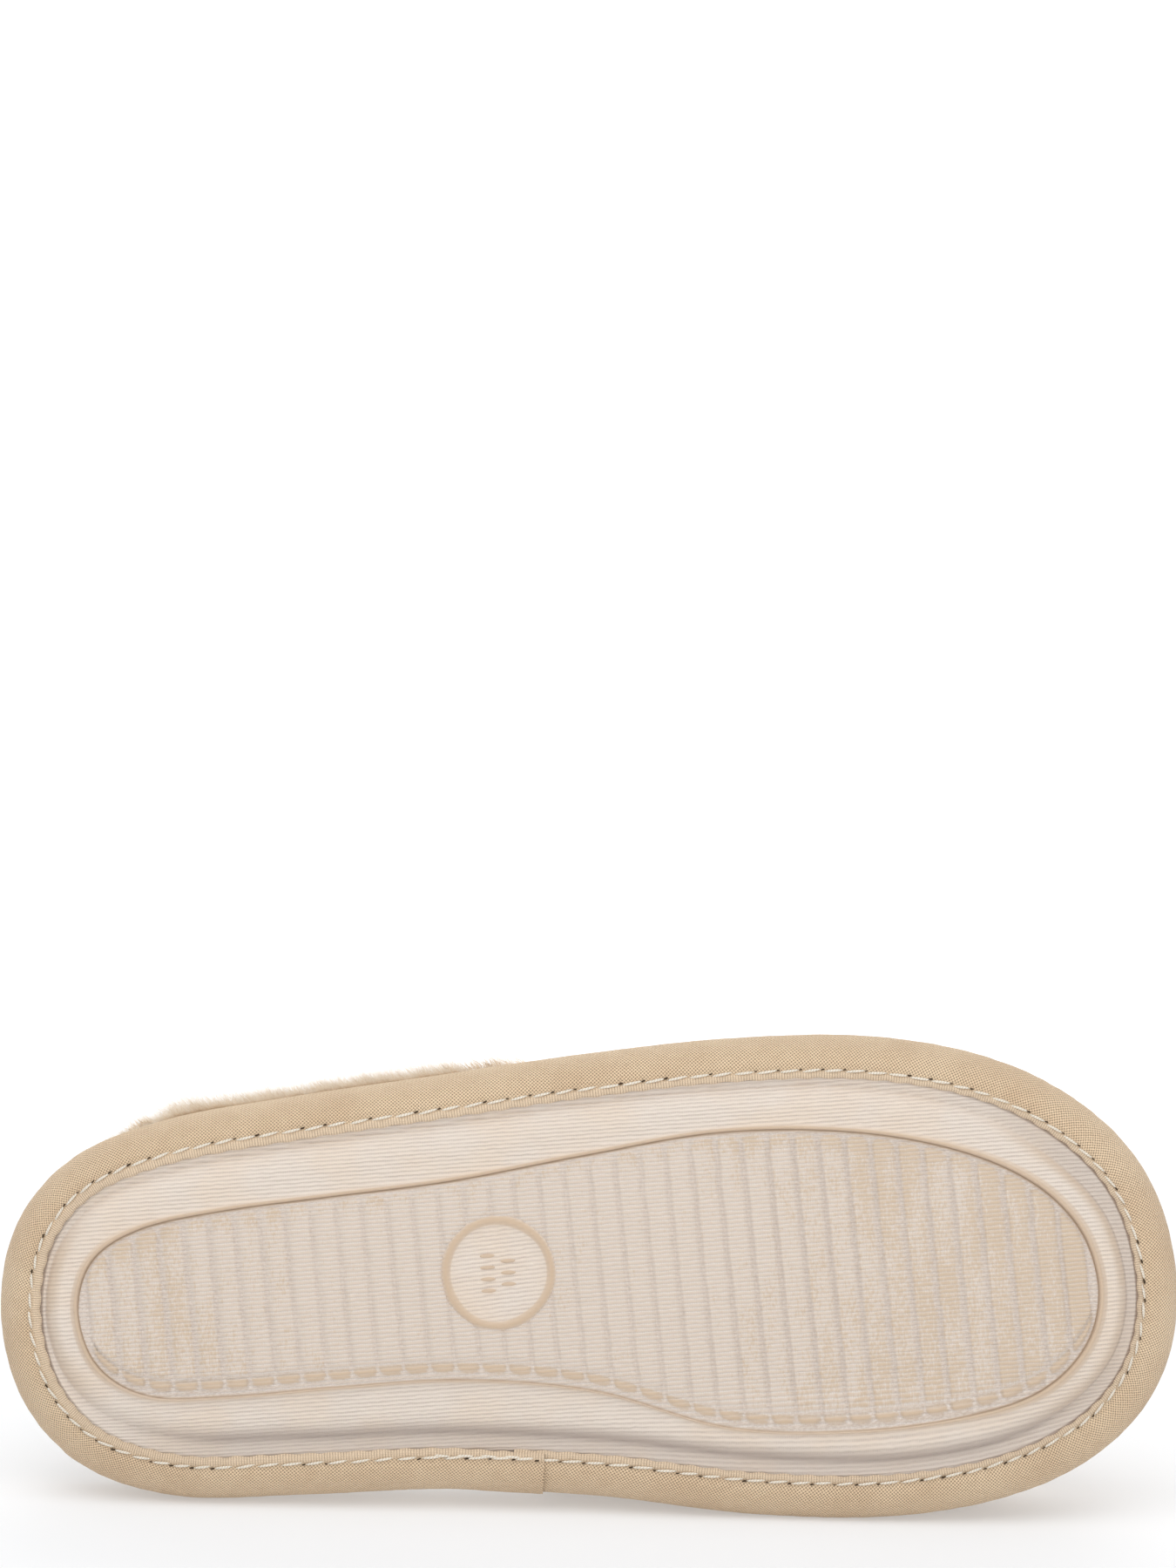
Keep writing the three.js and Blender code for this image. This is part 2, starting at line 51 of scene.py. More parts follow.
slipper = {
    "length": 266,
    "ballWidth": 108.8,
    "heelHeight": 22,
    "forefootHeight": 17.5,
    "thinsFrom": 0.3,  # this and the next ones as shares of the length
    "thinsTo": 0.75,
    "bevelTo": 0.1,
    "archFrom": 0.28,
    "archSpan": 0.3,
    "springFrom": 0.72,
    "springSpan": 0.28,
    "heelBevel": 1.2,
    "archRise": 1.4,
    "toeSpring": 7,
    "treadStart": 17.8,
    "treadLength": 230.1,
    "heelSpotAlong": 46.6,  # where the heel's flat spot is, which ties this frame to the model's
}

# Plan of the sole and of the bead: place along, middle and half width as shares of ballWidth
soleRows = [
    {"at": 0, "middle": 0.0, "half": 0},
    {"at": 0.017, "middle": 0.003, "half": 0.186},
    {"at": 0.067, "middle": 0.006, "half": 0.32},
    {"at": 0.146, "middle": 0.006, "half": 0.389},
    {"at": 0.25, "middle": -0.007, "half": 0.411},
    {"at": 0.371, "middle": -0.02, "half": 0.427},
    {"at": 0.5, "middle": -0.021, "half": 0.457},
    {"at": 0.629, "middle": -0.005, "half": 0.492},
    {"at": 0.75, "middle": 0.009, "half": 0.496},
    {"at": 0.854, "middle": 0.023, "half": 0.449},
    {"at": 0.933, "middle": 0.037, "half": 0.348},
    {"at": 0.983, "middle": 0.047, "half": 0.198},
    {"at": 1, "middle": 0.058, "half": 0},
]
beadRows = [
    {"at": 0, "middle": 0.0, "half": 0},
    {"at": 0.017, "middle": 0.005, "half": 0.112},
    {"at": 0.067, "middle": 0.008, "half": 0.176},
    {"at": 0.146, "middle": -0.002, "half": 0.194},
    {"at": 0.25, "middle": -0.0155, "half": 0.199},
    {"at": 0.371, "middle": -0.027, "half": 0.208},
    {"at": 0.5, "middle": -0.029, "half": 0.245},
    {"at": 0.629, "middle": -0.002, "half": 0.306},
    {"at": 0.75, "middle": 0.012, "half": 0.312},
    {"at": 0.854, "middle": 0.026, "half": 0.283},
    {"at": 0.933, "middle": 0.042, "half": 0.225},
    {"at": 0.983, "middle": 0.051, "half": 0.127},
    {"at": 1, "middle": 0.057, "half": 0},
]
outerSide = -1
innerSide = 1


# Small helpers for shapes

def lerp(a, b, t):
    return a + (b - a) * t


def clamped(x):
    return min(max(x, 0), 1)


def smooth(x, low, high):
    t = clamped((x - low) / (high - low))
    return t * t * (3 - 2 * t)


def bell(x, width):
    return math.exp(-((x / width) ** 2))


def shareOfTurn(turn):
    return (1 - math.cos(math.pi * turn)) / 2


def turnOfShare(share):
    return math.acos(1 - 2 * clamped(share)) / math.pi


def rowReader(rows, names, byTurn=True, mirrored=()):
    # Smooth values between a table's rows; mirrored names change sign past the ends
    place = turnOfShare if byTurn else float
    spots = [place(row["at"]) for row in rows]
    values = [[row[name] for name in names] for row in rows]
    signs = [-1 if name in mirrored else 1 for name in names]
    if byTurn:
        before = [sign * value for sign, value in zip(signs, values[1])]
        after = [sign * value for sign, value in zip(signs, values[-2])]
        spots = [-spots[1]] + spots + [2 - spots[-2]]
        values = [before] + values + [after]

    def slope(i, k):
        a, b = max(i - 1, 0), min(i + 1, len(spots) - 1)
        return (values[b][k] - values[a][k]) / (spots[b] - spots[a])

    def read(at):
        i = min(max(bisect_right(spots, at) - 1, 0), len(spots) - 2)
        span = spots[i + 1] - spots[i]
        t = clamped((at - spots[i]) / span)
        out = []
        for k in range(len(names)):
            p, q = values[i][k], values[i + 1][k]
            m, n = slope(i, k) * span, slope(i + 1, k) * span
            out.append(
                p * (2 * t**3 - 3 * t**2 + 1) + m * (t**3 - 2 * t**2 + t)
                + q * (3 * t**2 - 2 * t**3) + n * (t**3 - t**2)
            )
        return out

    return read


readSole = rowReader(soleRows, ["middle", "half"], mirrored=["half"])
readBead = rowReader(beadRows, ["middle", "half"], mirrored=["half"])


def planPoint(read, start, span, turn, side):
    middle, half = read(turn)
    return Vector((start + span * shareOfTurn(turn), slipper["ballWidth"] * (middle + side * half)))


def insetPoint(read, start, span, turn, side, inset):
    step = 0.003
    ahead = planPoint(read, start, span, turn + step, side)
    behind = planPoint(read, start, span, turn - step, side)
    run = (ahead - behind).normalized()
    return planPoint(read, start, span, turn, side) + Vector((side * run.y, -side * run.x)) * inset


def soleInset(turn, side, inset):
    return insetPoint(readSole, 0, slipper["length"], turn, side, inset)


def beadInset(turn, side, inset):
    return insetPoint(readBead, slipper["treadStart"], slipper["treadLength"], turn, side, inset)


def underside(x):
    share = x / slipper["length"]
    heel = max(0, (slipper["bevelTo"] - share) / slipper["bevelTo"]) ** 2
    arch = math.sin(math.pi * clamped((share - slipper["archFrom"]) / slipper["archSpan"])) ** 2
    toe = max(0, (share - slipper["springFrom"]) / slipper["springSpan"]) ** 2
    return slipper["heelBevel"] * heel + slipper["archRise"] * arch + slipper["toeSpring"] * toe


def randTop(x):
    forward = smooth(x / slipper["length"], slipper["thinsFrom"], slipper["thinsTo"])
    return underside(x) + lerp(slipper["heelHeight"], slipper["forefootHeight"], forward)


def onOutline(turn, side):
    return planPoint(readSole, 0, slipper["length"], turn, side)


def wander(*at):
    return noise.noise(Vector(at))


# The standing slipper's frame in the model's, from the two flat spots under the tread
mounts = {mount["name"]: mount for mount in frame["record"]["mounts"]}
heelSpot = Vector(mounts["tread_heel"]["pos_m"])
foreSpot = Vector(mounts["tread_forefoot"]["pos_m"])
footUp = -Vector(mounts["tread_heel"]["axis"]).normalized()
footAlong = (foreSpot - heelSpot).normalized()
footAcross = footUp.cross(footAlong)
laid = Matrix((footAlong, footAcross, footUp)).transposed().to_4x4()
laid.translation = heelSpot - footAlong * slipper["heelSpotAlong"] * mm
toModel = laid @ Matrix.Scale(mm, 4)


def gridPiece(columns, rows, place, uvOf=None, extras=None, merge=0.004):
    # A grid of columns by rows whose corners are moved to place(column, row), with seams merged.
    # uvOf gives each corner's pattern coordinates and extras its painted values.
    bm = bmesh.new()
    bmesh.ops.create_grid(bm, x_segments=columns, y_segments=rows, size=1)
    uvLayer = bm.loops.layers.uv.new("pattern")
    layers = {name: bm.verts.layers.float.new(name) for name in (extras or {})}
    bm.verts.ensure_lookup_table()
    spots = [(i % (columns + 1), i // (columns + 1)) for i in range(len(bm.verts))]
    for vert, spot in zip(bm.verts, spots):
        vert.co = place(*spot)
        for name, layer in layers.items():
            vert[layer] = extras[name](*spot)
    for face in bm.faces:
        for loop in face.loops:
            spot = spots[loop.vert.index]
            loop[uvLayer].uv = uvOf(*spot) if uvOf else (loop.vert.co.x, loop.vert.co.y)
    bmesh.ops.remove_doubles(bm, verts=bm.verts, dist=merge)
    return bm


def meshFrom(bm, name):
    mesh = bpy.data.meshes.new(name)
    bm.to_mesh(mesh)
    bm.free()
    return mesh


def addObject(name, data):
    added = bpy.data.objects.new(name, data)
    bpy.context.scene.collection.objects.link(added)
    return added


def addSmooth(mesh, material):
    # The mesh as a smoothly shaded object in its material
    mesh.materials.append(material)
    mesh.polygons.foreach_set("use_smooth", [True] * len(mesh.polygons))
    return addObject(mesh.name, mesh)


def finishPiece(bm, name, material, recalc=True):
    if recalc:
        bmesh.ops.recalc_face_normals(bm, faces=bm.faces)
    bm.transform(toModel)
    piece = addSmooth(meshFrom(bm, name), material)
    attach(piece, "root")
    return piece


def closeHoles(bm):
    bmesh.ops.holes_fill(bm, edges=[edge for edge in bm.edges if edge.is_boundary], sides=0)


# Small helpers for materials

clothGloss = 0.25
sheenSpread = 0.6


def newMaterial(name, roughness=0.8, sheen=0.0, sheenTint=(1, 1, 1, 1)):
    material = bpy.data.materials.new(name)
    material.use_nodes = True
    tree = material.node_tree
    shader = tree.nodes["Principled BSDF"]
    shader.inputs["Roughness"].default_value = roughness
    shader.inputs["Specular IOR Level"].default_value = clothGloss
    shader.inputs["Sheen Weight"].default_value = sheen
    shader.inputs["Sheen Roughness"].default_value = sheenSpread
    shader.inputs["Sheen Tint"].default_value = sheenTint
    return material, tree, shader


def feed(tree, socket, value):
    if isinstance(value, bpy.types.NodeSocket):
        tree.links.new(value, socket)
    elif value is not None:
        socket.default_value = value


def calc(tree, operation, a, b=None, clamp=False):
    node = tree.nodes.new("ShaderNodeMath")
    node.operation = operation
    node.use_clamp = clamp
    for socket, value in zip(node.inputs, (a, b)):
        feed(tree, socket, value)
    return node.outputs[0]


def times(tree, a, b):
    return calc(tree, "MULTIPLY", a, b)


def plus(tree, a, b):
    return calc(tree, "ADD", a, b)


def minus(tree, a, b):
    return calc(tree, "SUBTRACT", a, b)


def rest(tree, share):
    return calc(tree, "SUBTRACT", 1.0, share)


def humps(tree, along, pitch, shift=0.0):
    # Rows of round humps, one in each pitch
    angle = plus(tree, times(tree, along, math.pi / pitch), shift)
    return calc(tree, "ABSOLUTE", calc(tree, "SINE", angle))


def blendColour(tree, share, a, b):
    node = tree.nodes.new("ShaderNodeMix")
    node.data_type = "RGBA"
    feed(tree, node.inputs["Factor"], share)
    feed(tree, node.inputs["A"], a)
    feed(tree, node.inputs["B"], b)
    return node.outputs["Result"]


def rangeOf(tree, value, low, high, toLow=0.0, toHigh=1.0):
    node = tree.nodes.new("ShaderNodeMapRange")
    node.interpolation_type = "SMOOTHSTEP"
    for name, given in (("Value", value), ("From Min", low), ("From Max", high),
                        ("To Min", toLow), ("To Max", toHigh)):
        feed(tree, node.inputs[name], given)
    return node.outputs["Result"]


def patternCoords(tree, turned=0.0, scale=(1, 1, 1)):
    source = tree.nodes.new("ShaderNodeUVMap")
    source.uv_map = "pattern"
    mapping = tree.nodes.new("ShaderNodeMapping")
    mapping.inputs["Rotation"].default_value = (0, 0, turned)
    mapping.inputs["Scale"].default_value = scale
    tree.links.new(source.outputs["UV"], mapping.inputs["Vector"])
    return mapping.outputs["Vector"]


def splitCoords(tree, vector):
    node = tree.nodes.new("ShaderNodeSeparateXYZ")
    tree.links.new(vector, node.inputs[0])
    return node.outputs[0], node.outputs[1]


def cloudy(tree, vector, scale, detail=2.0, roughness=0.5):
    node = tree.nodes.new("ShaderNodeTexNoise")
    node.inputs["Scale"].default_value = scale
    node.inputs["Detail"].default_value = detail
    node.inputs["Roughness"].default_value = roughness
    tree.links.new(vector, node.inputs["Vector"])
    return node.outputs["Fac"]


def painted(tree, name):
    node = tree.nodes.new("ShaderNodeAttribute")
    node.attribute_name = name
    return node.outputs["Fac"]


def bumped(tree, shader, height, distance):
    node = tree.nodes.new("ShaderNodeBump")
    node.inputs["Strength"].default_value = 1.0
    node.inputs["Distance"].default_value = distance
    feed(tree, node.inputs["Height"], height)
    tree.links.new(node.outputs["Normal"], shader.inputs["Normal"])


# Sole cloth: fine ribs along the foot, dotted in their grooves, with the moulded compound
# showing through on the bead, at the ends of the tread's ribs and in patches on them
soleCloth = {
    "ribPitch": 0.95,
    "dotPitch": 0.5,
    "cream": (0.78, 0.69, 0.605, 1),
    "creamWarm": (0.785, 0.67, 0.56, 1),
    "treadCream": (0.67, 0.56, 0.465, 1),
    "lilac": (0.52, 0.43, 0.375, 1),
    "pale": (0.76, 0.7, 0.65, 1),
    # colour of the painted shade in the hollow beside the tape
    "shaded": (0.42, 0.35, 0.31, 1),
    "compound": (0.58, 0.435, 0.305, 1),
    # colour of the painted shade in the creases
    "crease": (0.22, 0.14, 0.09, 1),
    "patch": (0.6, 0.46, 0.325, 1),
    "ribRelief": 0.00014,
    "ribWobble": 1.3,
    "ribTurned": 1.4,
    "ribSpread": 0.012,
    "spreadFrom": 20,  # millimetres off the middle
    "followFrom": 22,
    "followTo": 46,
    "followShare": 0.75,
    "lineShare": 0.62,  # how strongly each of these shows
    "dashShare": 0.85,
    "patchShare": 0.85,
    "trenchShare": 0.45,
    "hollowShadeShare": 0.8,
}


def makeSoleCloth():
    given = soleCloth
    material, tree, shader = newMaterial("Ribbed sole cloth", roughness=0.72, sheen=0.25)
    pattern = patternCoords(tree)
    along, across = splitCoords(tree, pattern)
    trench, hollow, tread, compound, patchy = (
        painted(tree, name) for name in ("trench", "hollow", "tread", "compound", "patch")
    )
    # Ribs that waver a little, with dots in their grooves
    wobble = times(tree, minus(tree, cloudy(tree, pattern, 0.5, 2), 0.5), given["ribWobble"])
    rib = humps(tree, across, given["ribPitch"], wobble)
    groove = rangeOf(tree, times(tree, rib, rib), 0.9, 0.0)
    dots = calc(tree, "SINE", times(tree, along, 2 * math.pi / given["dotPitch"]))
    dotted = times(tree, groove, rangeOf(tree, dots, -1, 1, 0.65, 1.0))
    base = blendColour(
        tree, rangeOf(tree, cloudy(tree, pattern, 0.05, 3), 0.4, 0.65), given["cream"], given["creamWarm"]
    )
    base = blendColour(tree, tread, base, given["treadCream"])
    # Lines along the margin, worn thin in places
    streaks = cloudy(tree, patternCoords(tree, scale=(0.25, 1.6, 1)), 0.6, 3, 0.6)
    worn = rangeOf(tree, streaks, 0.3, 0.7, 0.35, 1.0)
    lines = times(tree, times(tree, dotted, rest(tree, tread)), worn)
    base = blendColour(tree, times(tree, lines, given["lineShare"]), base, given["lilac"])
    # Short pale dashes across the tread
    dash = times(tree, rangeOf(tree, rib, 0.9, 0.3), rangeOf(tree, dots, -1, 1, 0.55, 1.0))
    base = blendColour(tree, times(tree, times(tree, dash, tread), given["dashShare"]), base, given["pale"])
    # Patches of compound that has come through the cloth on the ribs' tops
    speckle = cloudy(tree, patternCoords(tree, scale=(1.3, 0.5, 1)), 1.4, 3, 0.65)
    grain = rangeOf(tree, plus(tree, speckle, times(tree, patchy, 0.5)), 0.6, 0.82)
    onRibs = times(tree, tread, rangeOf(tree, groove, 0, 1, 1.0, 0.55))
    bleed = times(tree, times(tree, grain, onRibs), given["patchShare"])
    base = blendColour(tree, bleed, base, given["patch"])
    # White and lilac threads in the grooves between the ribs
    thread = rangeOf(tree, cloudy(tree, patternCoords(tree, scale=(1, 3, 1)), 1.2, 2), 0.35, 0.65)
    threads = blendColour(tree, thread, given["lilac"], given["pale"])
    base = blendColour(tree, times(tree, trench, given["trenchShare"]), base, threads)
    # Painted shade: the hollow beside the tape goes lilac-grey
    base = blendColour(tree, times(tree, hollow, given["hollowShadeShare"]), base, given["shaded"])
    # Compound over the pad's shoulder, partly painted shade on its slope
    base = blendColour(tree, painted(tree, "shoulder"), base, given["compound"])
    base = blendColour(tree, compound, base, given["compound"])
    # Painted shade: dark lines in the creases beside the tape, at the shoulder and inside the bead
    base = blendColour(tree, painted(tree, "crease"), base, given["crease"])
    tree.links.new(base, shader.inputs["Base Color"])
    relief = minus(tree, rib, times(tree, dotted, 0.4))
    relief = times(tree, relief, rest(tree, times(tree, compound, 0.9)))
    bumped(tree, shader, plus(tree, relief, times(tree, speckle, 0.5)), given["ribRelief"])
    return material


# Woven cloth of the rand and upper: a plain weave cut on the bias
canvas = {
    "pitch": 0.59,
    "thread": (0.8, 0.58, 0.375, 1),
    "threadPale": (0.94, 0.735, 0.505, 1),
    "gap": (0.3, 0.185, 0.105, 1),
    "tape": (0.8, 0.63, 0.46, 1),
    "tapeRib": 0.62,
    "tapeTick": 0.5,
    "sway": 2.4,
    "gapShare": 0.88,
    "relief": 0.00025,
}


def makeCanvas(name, turned, tape=False):
    given = canvas
    material, tree, shader = newMaterial(name, roughness=0.85, sheen=0.3, sheenTint=(1, 0.93, 0.82, 1))
    pattern = patternCoords(tree, turned)
    along, across = splitCoords(tree, pattern)
    # Threads that go over and under each other, with gaps where they cross
    sway = times(tree, minus(tree, cloudy(tree, pattern, 0.12, 2), 0.5), given["sway"])
    warp, weft = (
        calc(tree, "SINE", plus(tree, times(tree, way, math.pi / given["pitch"]), sway))
        for way in (along, across)
    )
    warpRound = calc(tree, "ABSOLUTE", warp)
    weftRound = calc(tree, "ABSOLUTE", weft)
    over = rangeOf(tree, times(tree, warp, weft), -0.15, 0.15)
    height = plus(tree, times(tree, over, warpRound), times(tree, rest(tree, over), weftRound))
    hollow = times(tree, rest(tree, warpRound), rest(tree, weftRound))
    low = rangeOf(tree, height, 0.5, 0.12)
    gap = calc(tree, "MAXIMUM", rangeOf(tree, hollow, 0.06, 0.38), times(tree, low, 0.7))
    fibres = cloudy(tree, patternCoords(tree, turned, (0.25, 3, 1)), 1.5, 3, 0.65)
    uneven = cloudy(tree, pattern, 0.045, 4, 0.6)
    pale = plus(tree, times(tree, fibres, 0.6), times(tree, uneven, 0.6))
    base = blendColour(tree, rangeOf(tree, pale, 0.4, 0.8), given["thread"], given["threadPale"])
    if tape:
        # The turned-under edge is pressed into short ribs square to the stitching
        edge = painted(tree, "edge")
        base = blendColour(tree, times(tree, edge, 0.75), base, given["tape"])
        runs, crossing = splitCoords(tree, patternCoords(tree))
        ticks = humps(tree, crossing, given["tapeTick"])
        ribbed = times(
            tree, humps(tree, runs, given["tapeRib"]), plus(tree, 0.55, times(tree, ticks, 0.45))
        )
        offTape = rest(tree, edge)
        height = plus(tree, times(tree, height, offTape), times(tree, ribbed, edge))
        ribGap = times(tree, rangeOf(tree, ribbed, 0.45, 0.05), edge)
        gap = calc(tree, "ADD", times(tree, gap, offTape), times(tree, ribGap, 0.5), clamp=True)
    base = blendColour(tree, times(tree, gap, given["gapShare"]), base, given["gap"])
    tree.links.new(base, shader.inputs["Base Color"])
    bumped(tree, shader, plus(tree, height, times(tree, fibres, 0.35)), given["relief"])
    return material


# Plush: its hairs, darker at their roots, and the cloth that they stand on
pile = {
    "root": (0.62, 0.45, 0.29, 1),
    "middle": (0.85, 0.69, 0.5, 1),
    "tip": (0.96, 0.885, 0.765, 1),
    "tan": (0.66, 0.49, 0.32, 1),
    "tanShare": 0.75,
    "backing": (0.62, 0.47, 0.32, 1),
    "backingPale": (0.8, 0.67, 0.51, 1),
    "tuftScale": 900,
    "tuftRelief": 0.0012,
}


def makePile():
    material, tree, shader = newMaterial("Plush pile", roughness=0.75, sheen=0.4)
    source = tree.nodes.new("ShaderNodeUVMap")
    source.uv_map = "pattern"
    chance, along = splitCoords(tree, source.outputs["UV"])
    body = blendColour(tree, rangeOf(tree, along, 0.05, 0.55), pile["root"], pile["middle"])
    body = blendColour(tree, rangeOf(tree, along, 0.4, 0.95), body, pile["tip"])
    tinted = blendColour(tree, rangeOf(tree, chance, 0.55, 1.0, 0.0, pile["tanShare"]), body, pile["tan"])
    tree.links.new(tinted, shader.inputs["Base Color"])
    return material


def makePlushBacking():
    material, tree, shader = newMaterial("Plush backing", roughness=0.95, sheen=0.5)
    coords = tree.nodes.new("ShaderNodeTexCoord").outputs["Object"]
    tufts = cloudy(tree, coords, pile["tuftScale"], 4, 0.7)
    base = blendColour(tree, rangeOf(tree, tufts, 0.35, 0.65), pile["backing"], pile["backingPale"])
    tree.links.new(base, shader.inputs["Base Color"])
    bumped(tree, shader, tufts, pile["tuftRelief"])
    return material


# Sewing thread, a two-ply twist, and the painted shade in its needle holes
sewing = {
    "ply": (0.78, 0.68, 0.54, 1),
    "plyPale": (0.95, 0.89, 0.79, 1),
    "twist": 9.0,
    "relief": 0.00008,
    # colour of the painted shade inside the needle holes
    "hole": (0.03, 0.02, 0.012, 1),
    "holeShadePale": (0.1, 0.065, 0.04, 1),
}


def makeThread():
    material, tree, shader = newMaterial("Sewing thread", roughness=0.55, sheen=0.2)
    along, around = splitCoords(tree, patternCoords(tree))
    wound = plus(tree, times(tree, along, sewing["twist"]), times(tree, around, 2 * math.pi))
    twist = calc(tree, "SINE", wound)
    base = blendColour(tree, rangeOf(tree, twist, -1, 1), sewing["ply"], sewing["plyPale"])
    tree.links.new(base, shader.inputs["Base Color"])
    bumped(tree, shader, twist, sewing["relief"])
    return material


def makeHoleShade():
    material, tree, shader = newMaterial("Needle hole", roughness=1.0)
    coords = tree.nodes.new("ShaderNodeTexCoord").outputs["Object"]
    speck = cloudy(tree, coords, 3000, 2)
    base = blendColour(tree, speck, sewing["hole"], sewing["holeShadePale"])
    tree.links.new(base, shader.inputs["Base Color"])
    return material


soleMaterial = makeSoleCloth()
randMaterial = makeCanvas("Rand canvas", math.radians(38), tape=True)
upperMaterial = makeCanvas("Upper canvas", math.radians(2))
pileMaterial = makePile()
backingMaterial = makePlushBacking()
threadMaterial = makeThread()
holeMaterial = makeHoleShade()
print("materials made")

# Size disc under the waist, which the tread's ribs leave free
sizeDisc = {
    "along": 112.7,
    "across": -4.1,
    "radius": 12.5,
    "rim": 1.5,
    "floor": 0.35,
    "crest": -0.1,
    "markLength": 3.4,
    "markWidth": 0.9,
    "markHeight": 0.3,
    "markPitch": 2.6,
    "rowGap": 4.6,
    "clothTurned": 4,
    "steps": 96,
}

# Sole panel: cloth-faced moulding with margin, shoulder, bead and cross-ribbed tread
panel = {
    "marginHeight": 1.5,
    "valleyHeight": 3.75,
    "tapeHeight": 2.85,
    "tuckHeight": 4.1,
    "backHeight": 5.1,
    "backInset": 11.5,
    "tuckInset": 7.6,
    "tapeInset": 9.75,
    "marginReach": 6.6,
    "floor": 0.95,
    "waistFloor": 0.66,
    "waist": 115,
    "ribCount": 39,
    "ribTop": 0.12,
    "ribCrown": 0.1,
    "ribPitch": 5.75,
    "ribHalf": 2.6,
    "ribCorner": 1.7,
    "ribEdge": 0.44,
    "ribSkew": -3.4,
    "ribWander": 0.3,
    "lobeAt": 4,  # from the bead, where a dip parts each rib's inner end from the rest
    "lobeDip": 0.75,
    "lobeDipWidth": 0.4,
    "clearOuter": 0.7,
    "clearInner": 1.5,
    "beadWidth": 0.58,  # of its section below, with more at heel and toe and less on the inner side
    "beadWidthHeel": 0.15,
    "beadWidthToe": 0.28,
    "beadWidthInner": 0.18,
    "beadRiseOuter": 0.66,
    "beadRiseInner": 0.34,
}
# How far in from the tape the hollow beside the pad runs, on the outer and on the inner side
valleyRows = [
    {"at": 0, "outer": 1.1, "inner": 1.1, "outerRun": 2.2, "innerRun": 2.2},
    {"at": 0.06, "outer": 1.8, "inner": 3.4, "outerRun": 3.4, "innerRun": 4.5},
    {"at": 0.14, "outer": 1.6, "inner": 4, "outerRun": 5, "innerRun": 4.5},
    {"at": 0.3, "outer": 1.2, "inner": 3.7, "outerRun": 6, "innerRun": 3.4},
    {"at": 0.46, "outer": 1.2, "inner": 3.7, "outerRun": 6, "innerRun": 3},
    {"at": 0.68, "outer": 1.4, "inner": 3.6, "outerRun": 5, "innerRun": 3.2},
    {"at": 0.84, "outer": 3, "inner": 3.4, "outerRun": 2.6, "innerRun": 2.6},
    {"at": 0.94, "outer": 4.4, "inner": 3.6, "outerRun": 1.7, "innerRun": 1.9},
    {"at": 1, "outer": 2.5, "inner": 2.5, "outerRun": 1.8, "innerRun": 1.8},
]
readValley = rowReader(valleyRows, ["outer", "inner", "outerRun", "innerRun"])
firstRib = slipper["treadStart"] + (slipper["treadLength"] - (panel["ribCount"] - 1) * panel["ribPitch"]) / 2
treadLow = slipper["treadStart"] + 1.0
treadHigh = slipper["treadStart"] + slipper["treadLength"] - 1.0
grooveSteps = [-0.95, -0.6, -0.3, 0, 0.3, 0.6, 0.95, 1.9, 2.875, 3.85]
tipSteps = [0, 0.03, 0.12, 0.3, 0.6]
beadStops = [-1.9, -1.3, -0.85, -0.4, 0.0, 0.3, 0.48, 0.62, 0.8, 1.0]
beadHeights = [1.0, 0.78, 0.42, 0.1, 0.0, 0.14, 0.5, 1.0, 1.22, 1.0]  # of the way from crest to its foot
marginFractions = [0.25, 0.5, 0.75]
edgeStops = [0.35, 0.7, 1.1, 1.6, 2.2, 3.0, 4.0]
treadSteps = 36


def rungPlaces():
    # Lines across the tread: close together in each groove between ribs, and at heel and toe
    grooves = [firstRib + (k - 0.5) * panel["ribPitch"] for k in range(panel["ribCount"] + 1)]
    places = [groove + step for groove in grooves for step in grooveSteps]
    inside = [place for place in places if treadLow + 0.8 < place < treadHigh - 0.8]
    tips = [treadLow + step for step in tipSteps] + [treadHigh - step for step in tipSteps]
    return sorted(inside + tips)


def rungEnd(x, side):
    # Turn along the bead where the skewed line through x meets it
    ends = min(smooth(x, treadLow, treadLow + 9), smooth(treadHigh - x, 0, 9))
    lean = math.tan(math.radians(panel["ribSkew"])) * ends
    at = x
    turn = 0
    for _ in range(7):
        turn = turnOfShare((at - treadLow) / (treadHigh - treadLow))
        at = x - lean * beadInset(turn, side, 0).y
    return turn


def fromWaist(x):
    # None at the waist, where the grooves are faint, and one at heel and ball
    return smooth(abs(x - panel["waist"]), 25, 75)


def treadHeight(x, y, outerEnd, innerEnd):
    # Height of the tread at a point of the plan, and how much of it is groove and how much rib
    skewed = x + math.tan(math.radians(panel["ribSkew"])) * y
    skewed += panel["ribWander"] * wander(y * 0.22, skewed * 0.13, 3.1)
    k = min(max(round((skewed - firstRib) / panel["ribPitch"]), 0), panel["ribCount"] - 1)
    dx = abs(skewed - firstRib - k * panel["ribPitch"]) - panel["ribHalf"] + panel["ribCorner"]
    middle = (outerEnd + innerEnd) / 2 + (panel["clearOuter"] - panel["clearInner"]) / 2
    half = (innerEnd - outerEnd - panel["clearOuter"] - panel["clearInner"]) / 2
    dy = abs(y - middle) - half + panel["ribCorner"]
    outside = math.hypot(max(dx, 0), max(dy, 0)) + min(max(dx, dy), 0) - panel["ribCorner"]
    raised = smooth(-outside, -0.1, panel["ribEdge"])
    raised *= 1 - panel["lobeDip"] * bell(innerEnd - y - panel["lobeAt"], panel["lobeDipWidth"])
    fromDisc = math.hypot(x - sizeDisc["along"], y - sizeDisc["across"])
    raised *= smooth(fromDisc, sizeDisc["radius"] - 0.2, sizeDisc["radius"] + 0.7)
    crown = panel["ribCrown"] * wander(x * 0.3, y * 0.3, 7.7)
    floor = lerp(panel["waistFloor"], panel["floor"], fromWaist(x))
    return lerp(floor, panel["ribTop"] + crown, raised), 1 - raised, raised


def valleyAt(turn, side):
    # Where the hollow ends and the pad's shoulder starts, and how far the shoulder runs
    outer, inner, outerRun, innerRun = readValley(turn)
    return (outer, outerRun) if side == outerSide else (inner, innerRun)


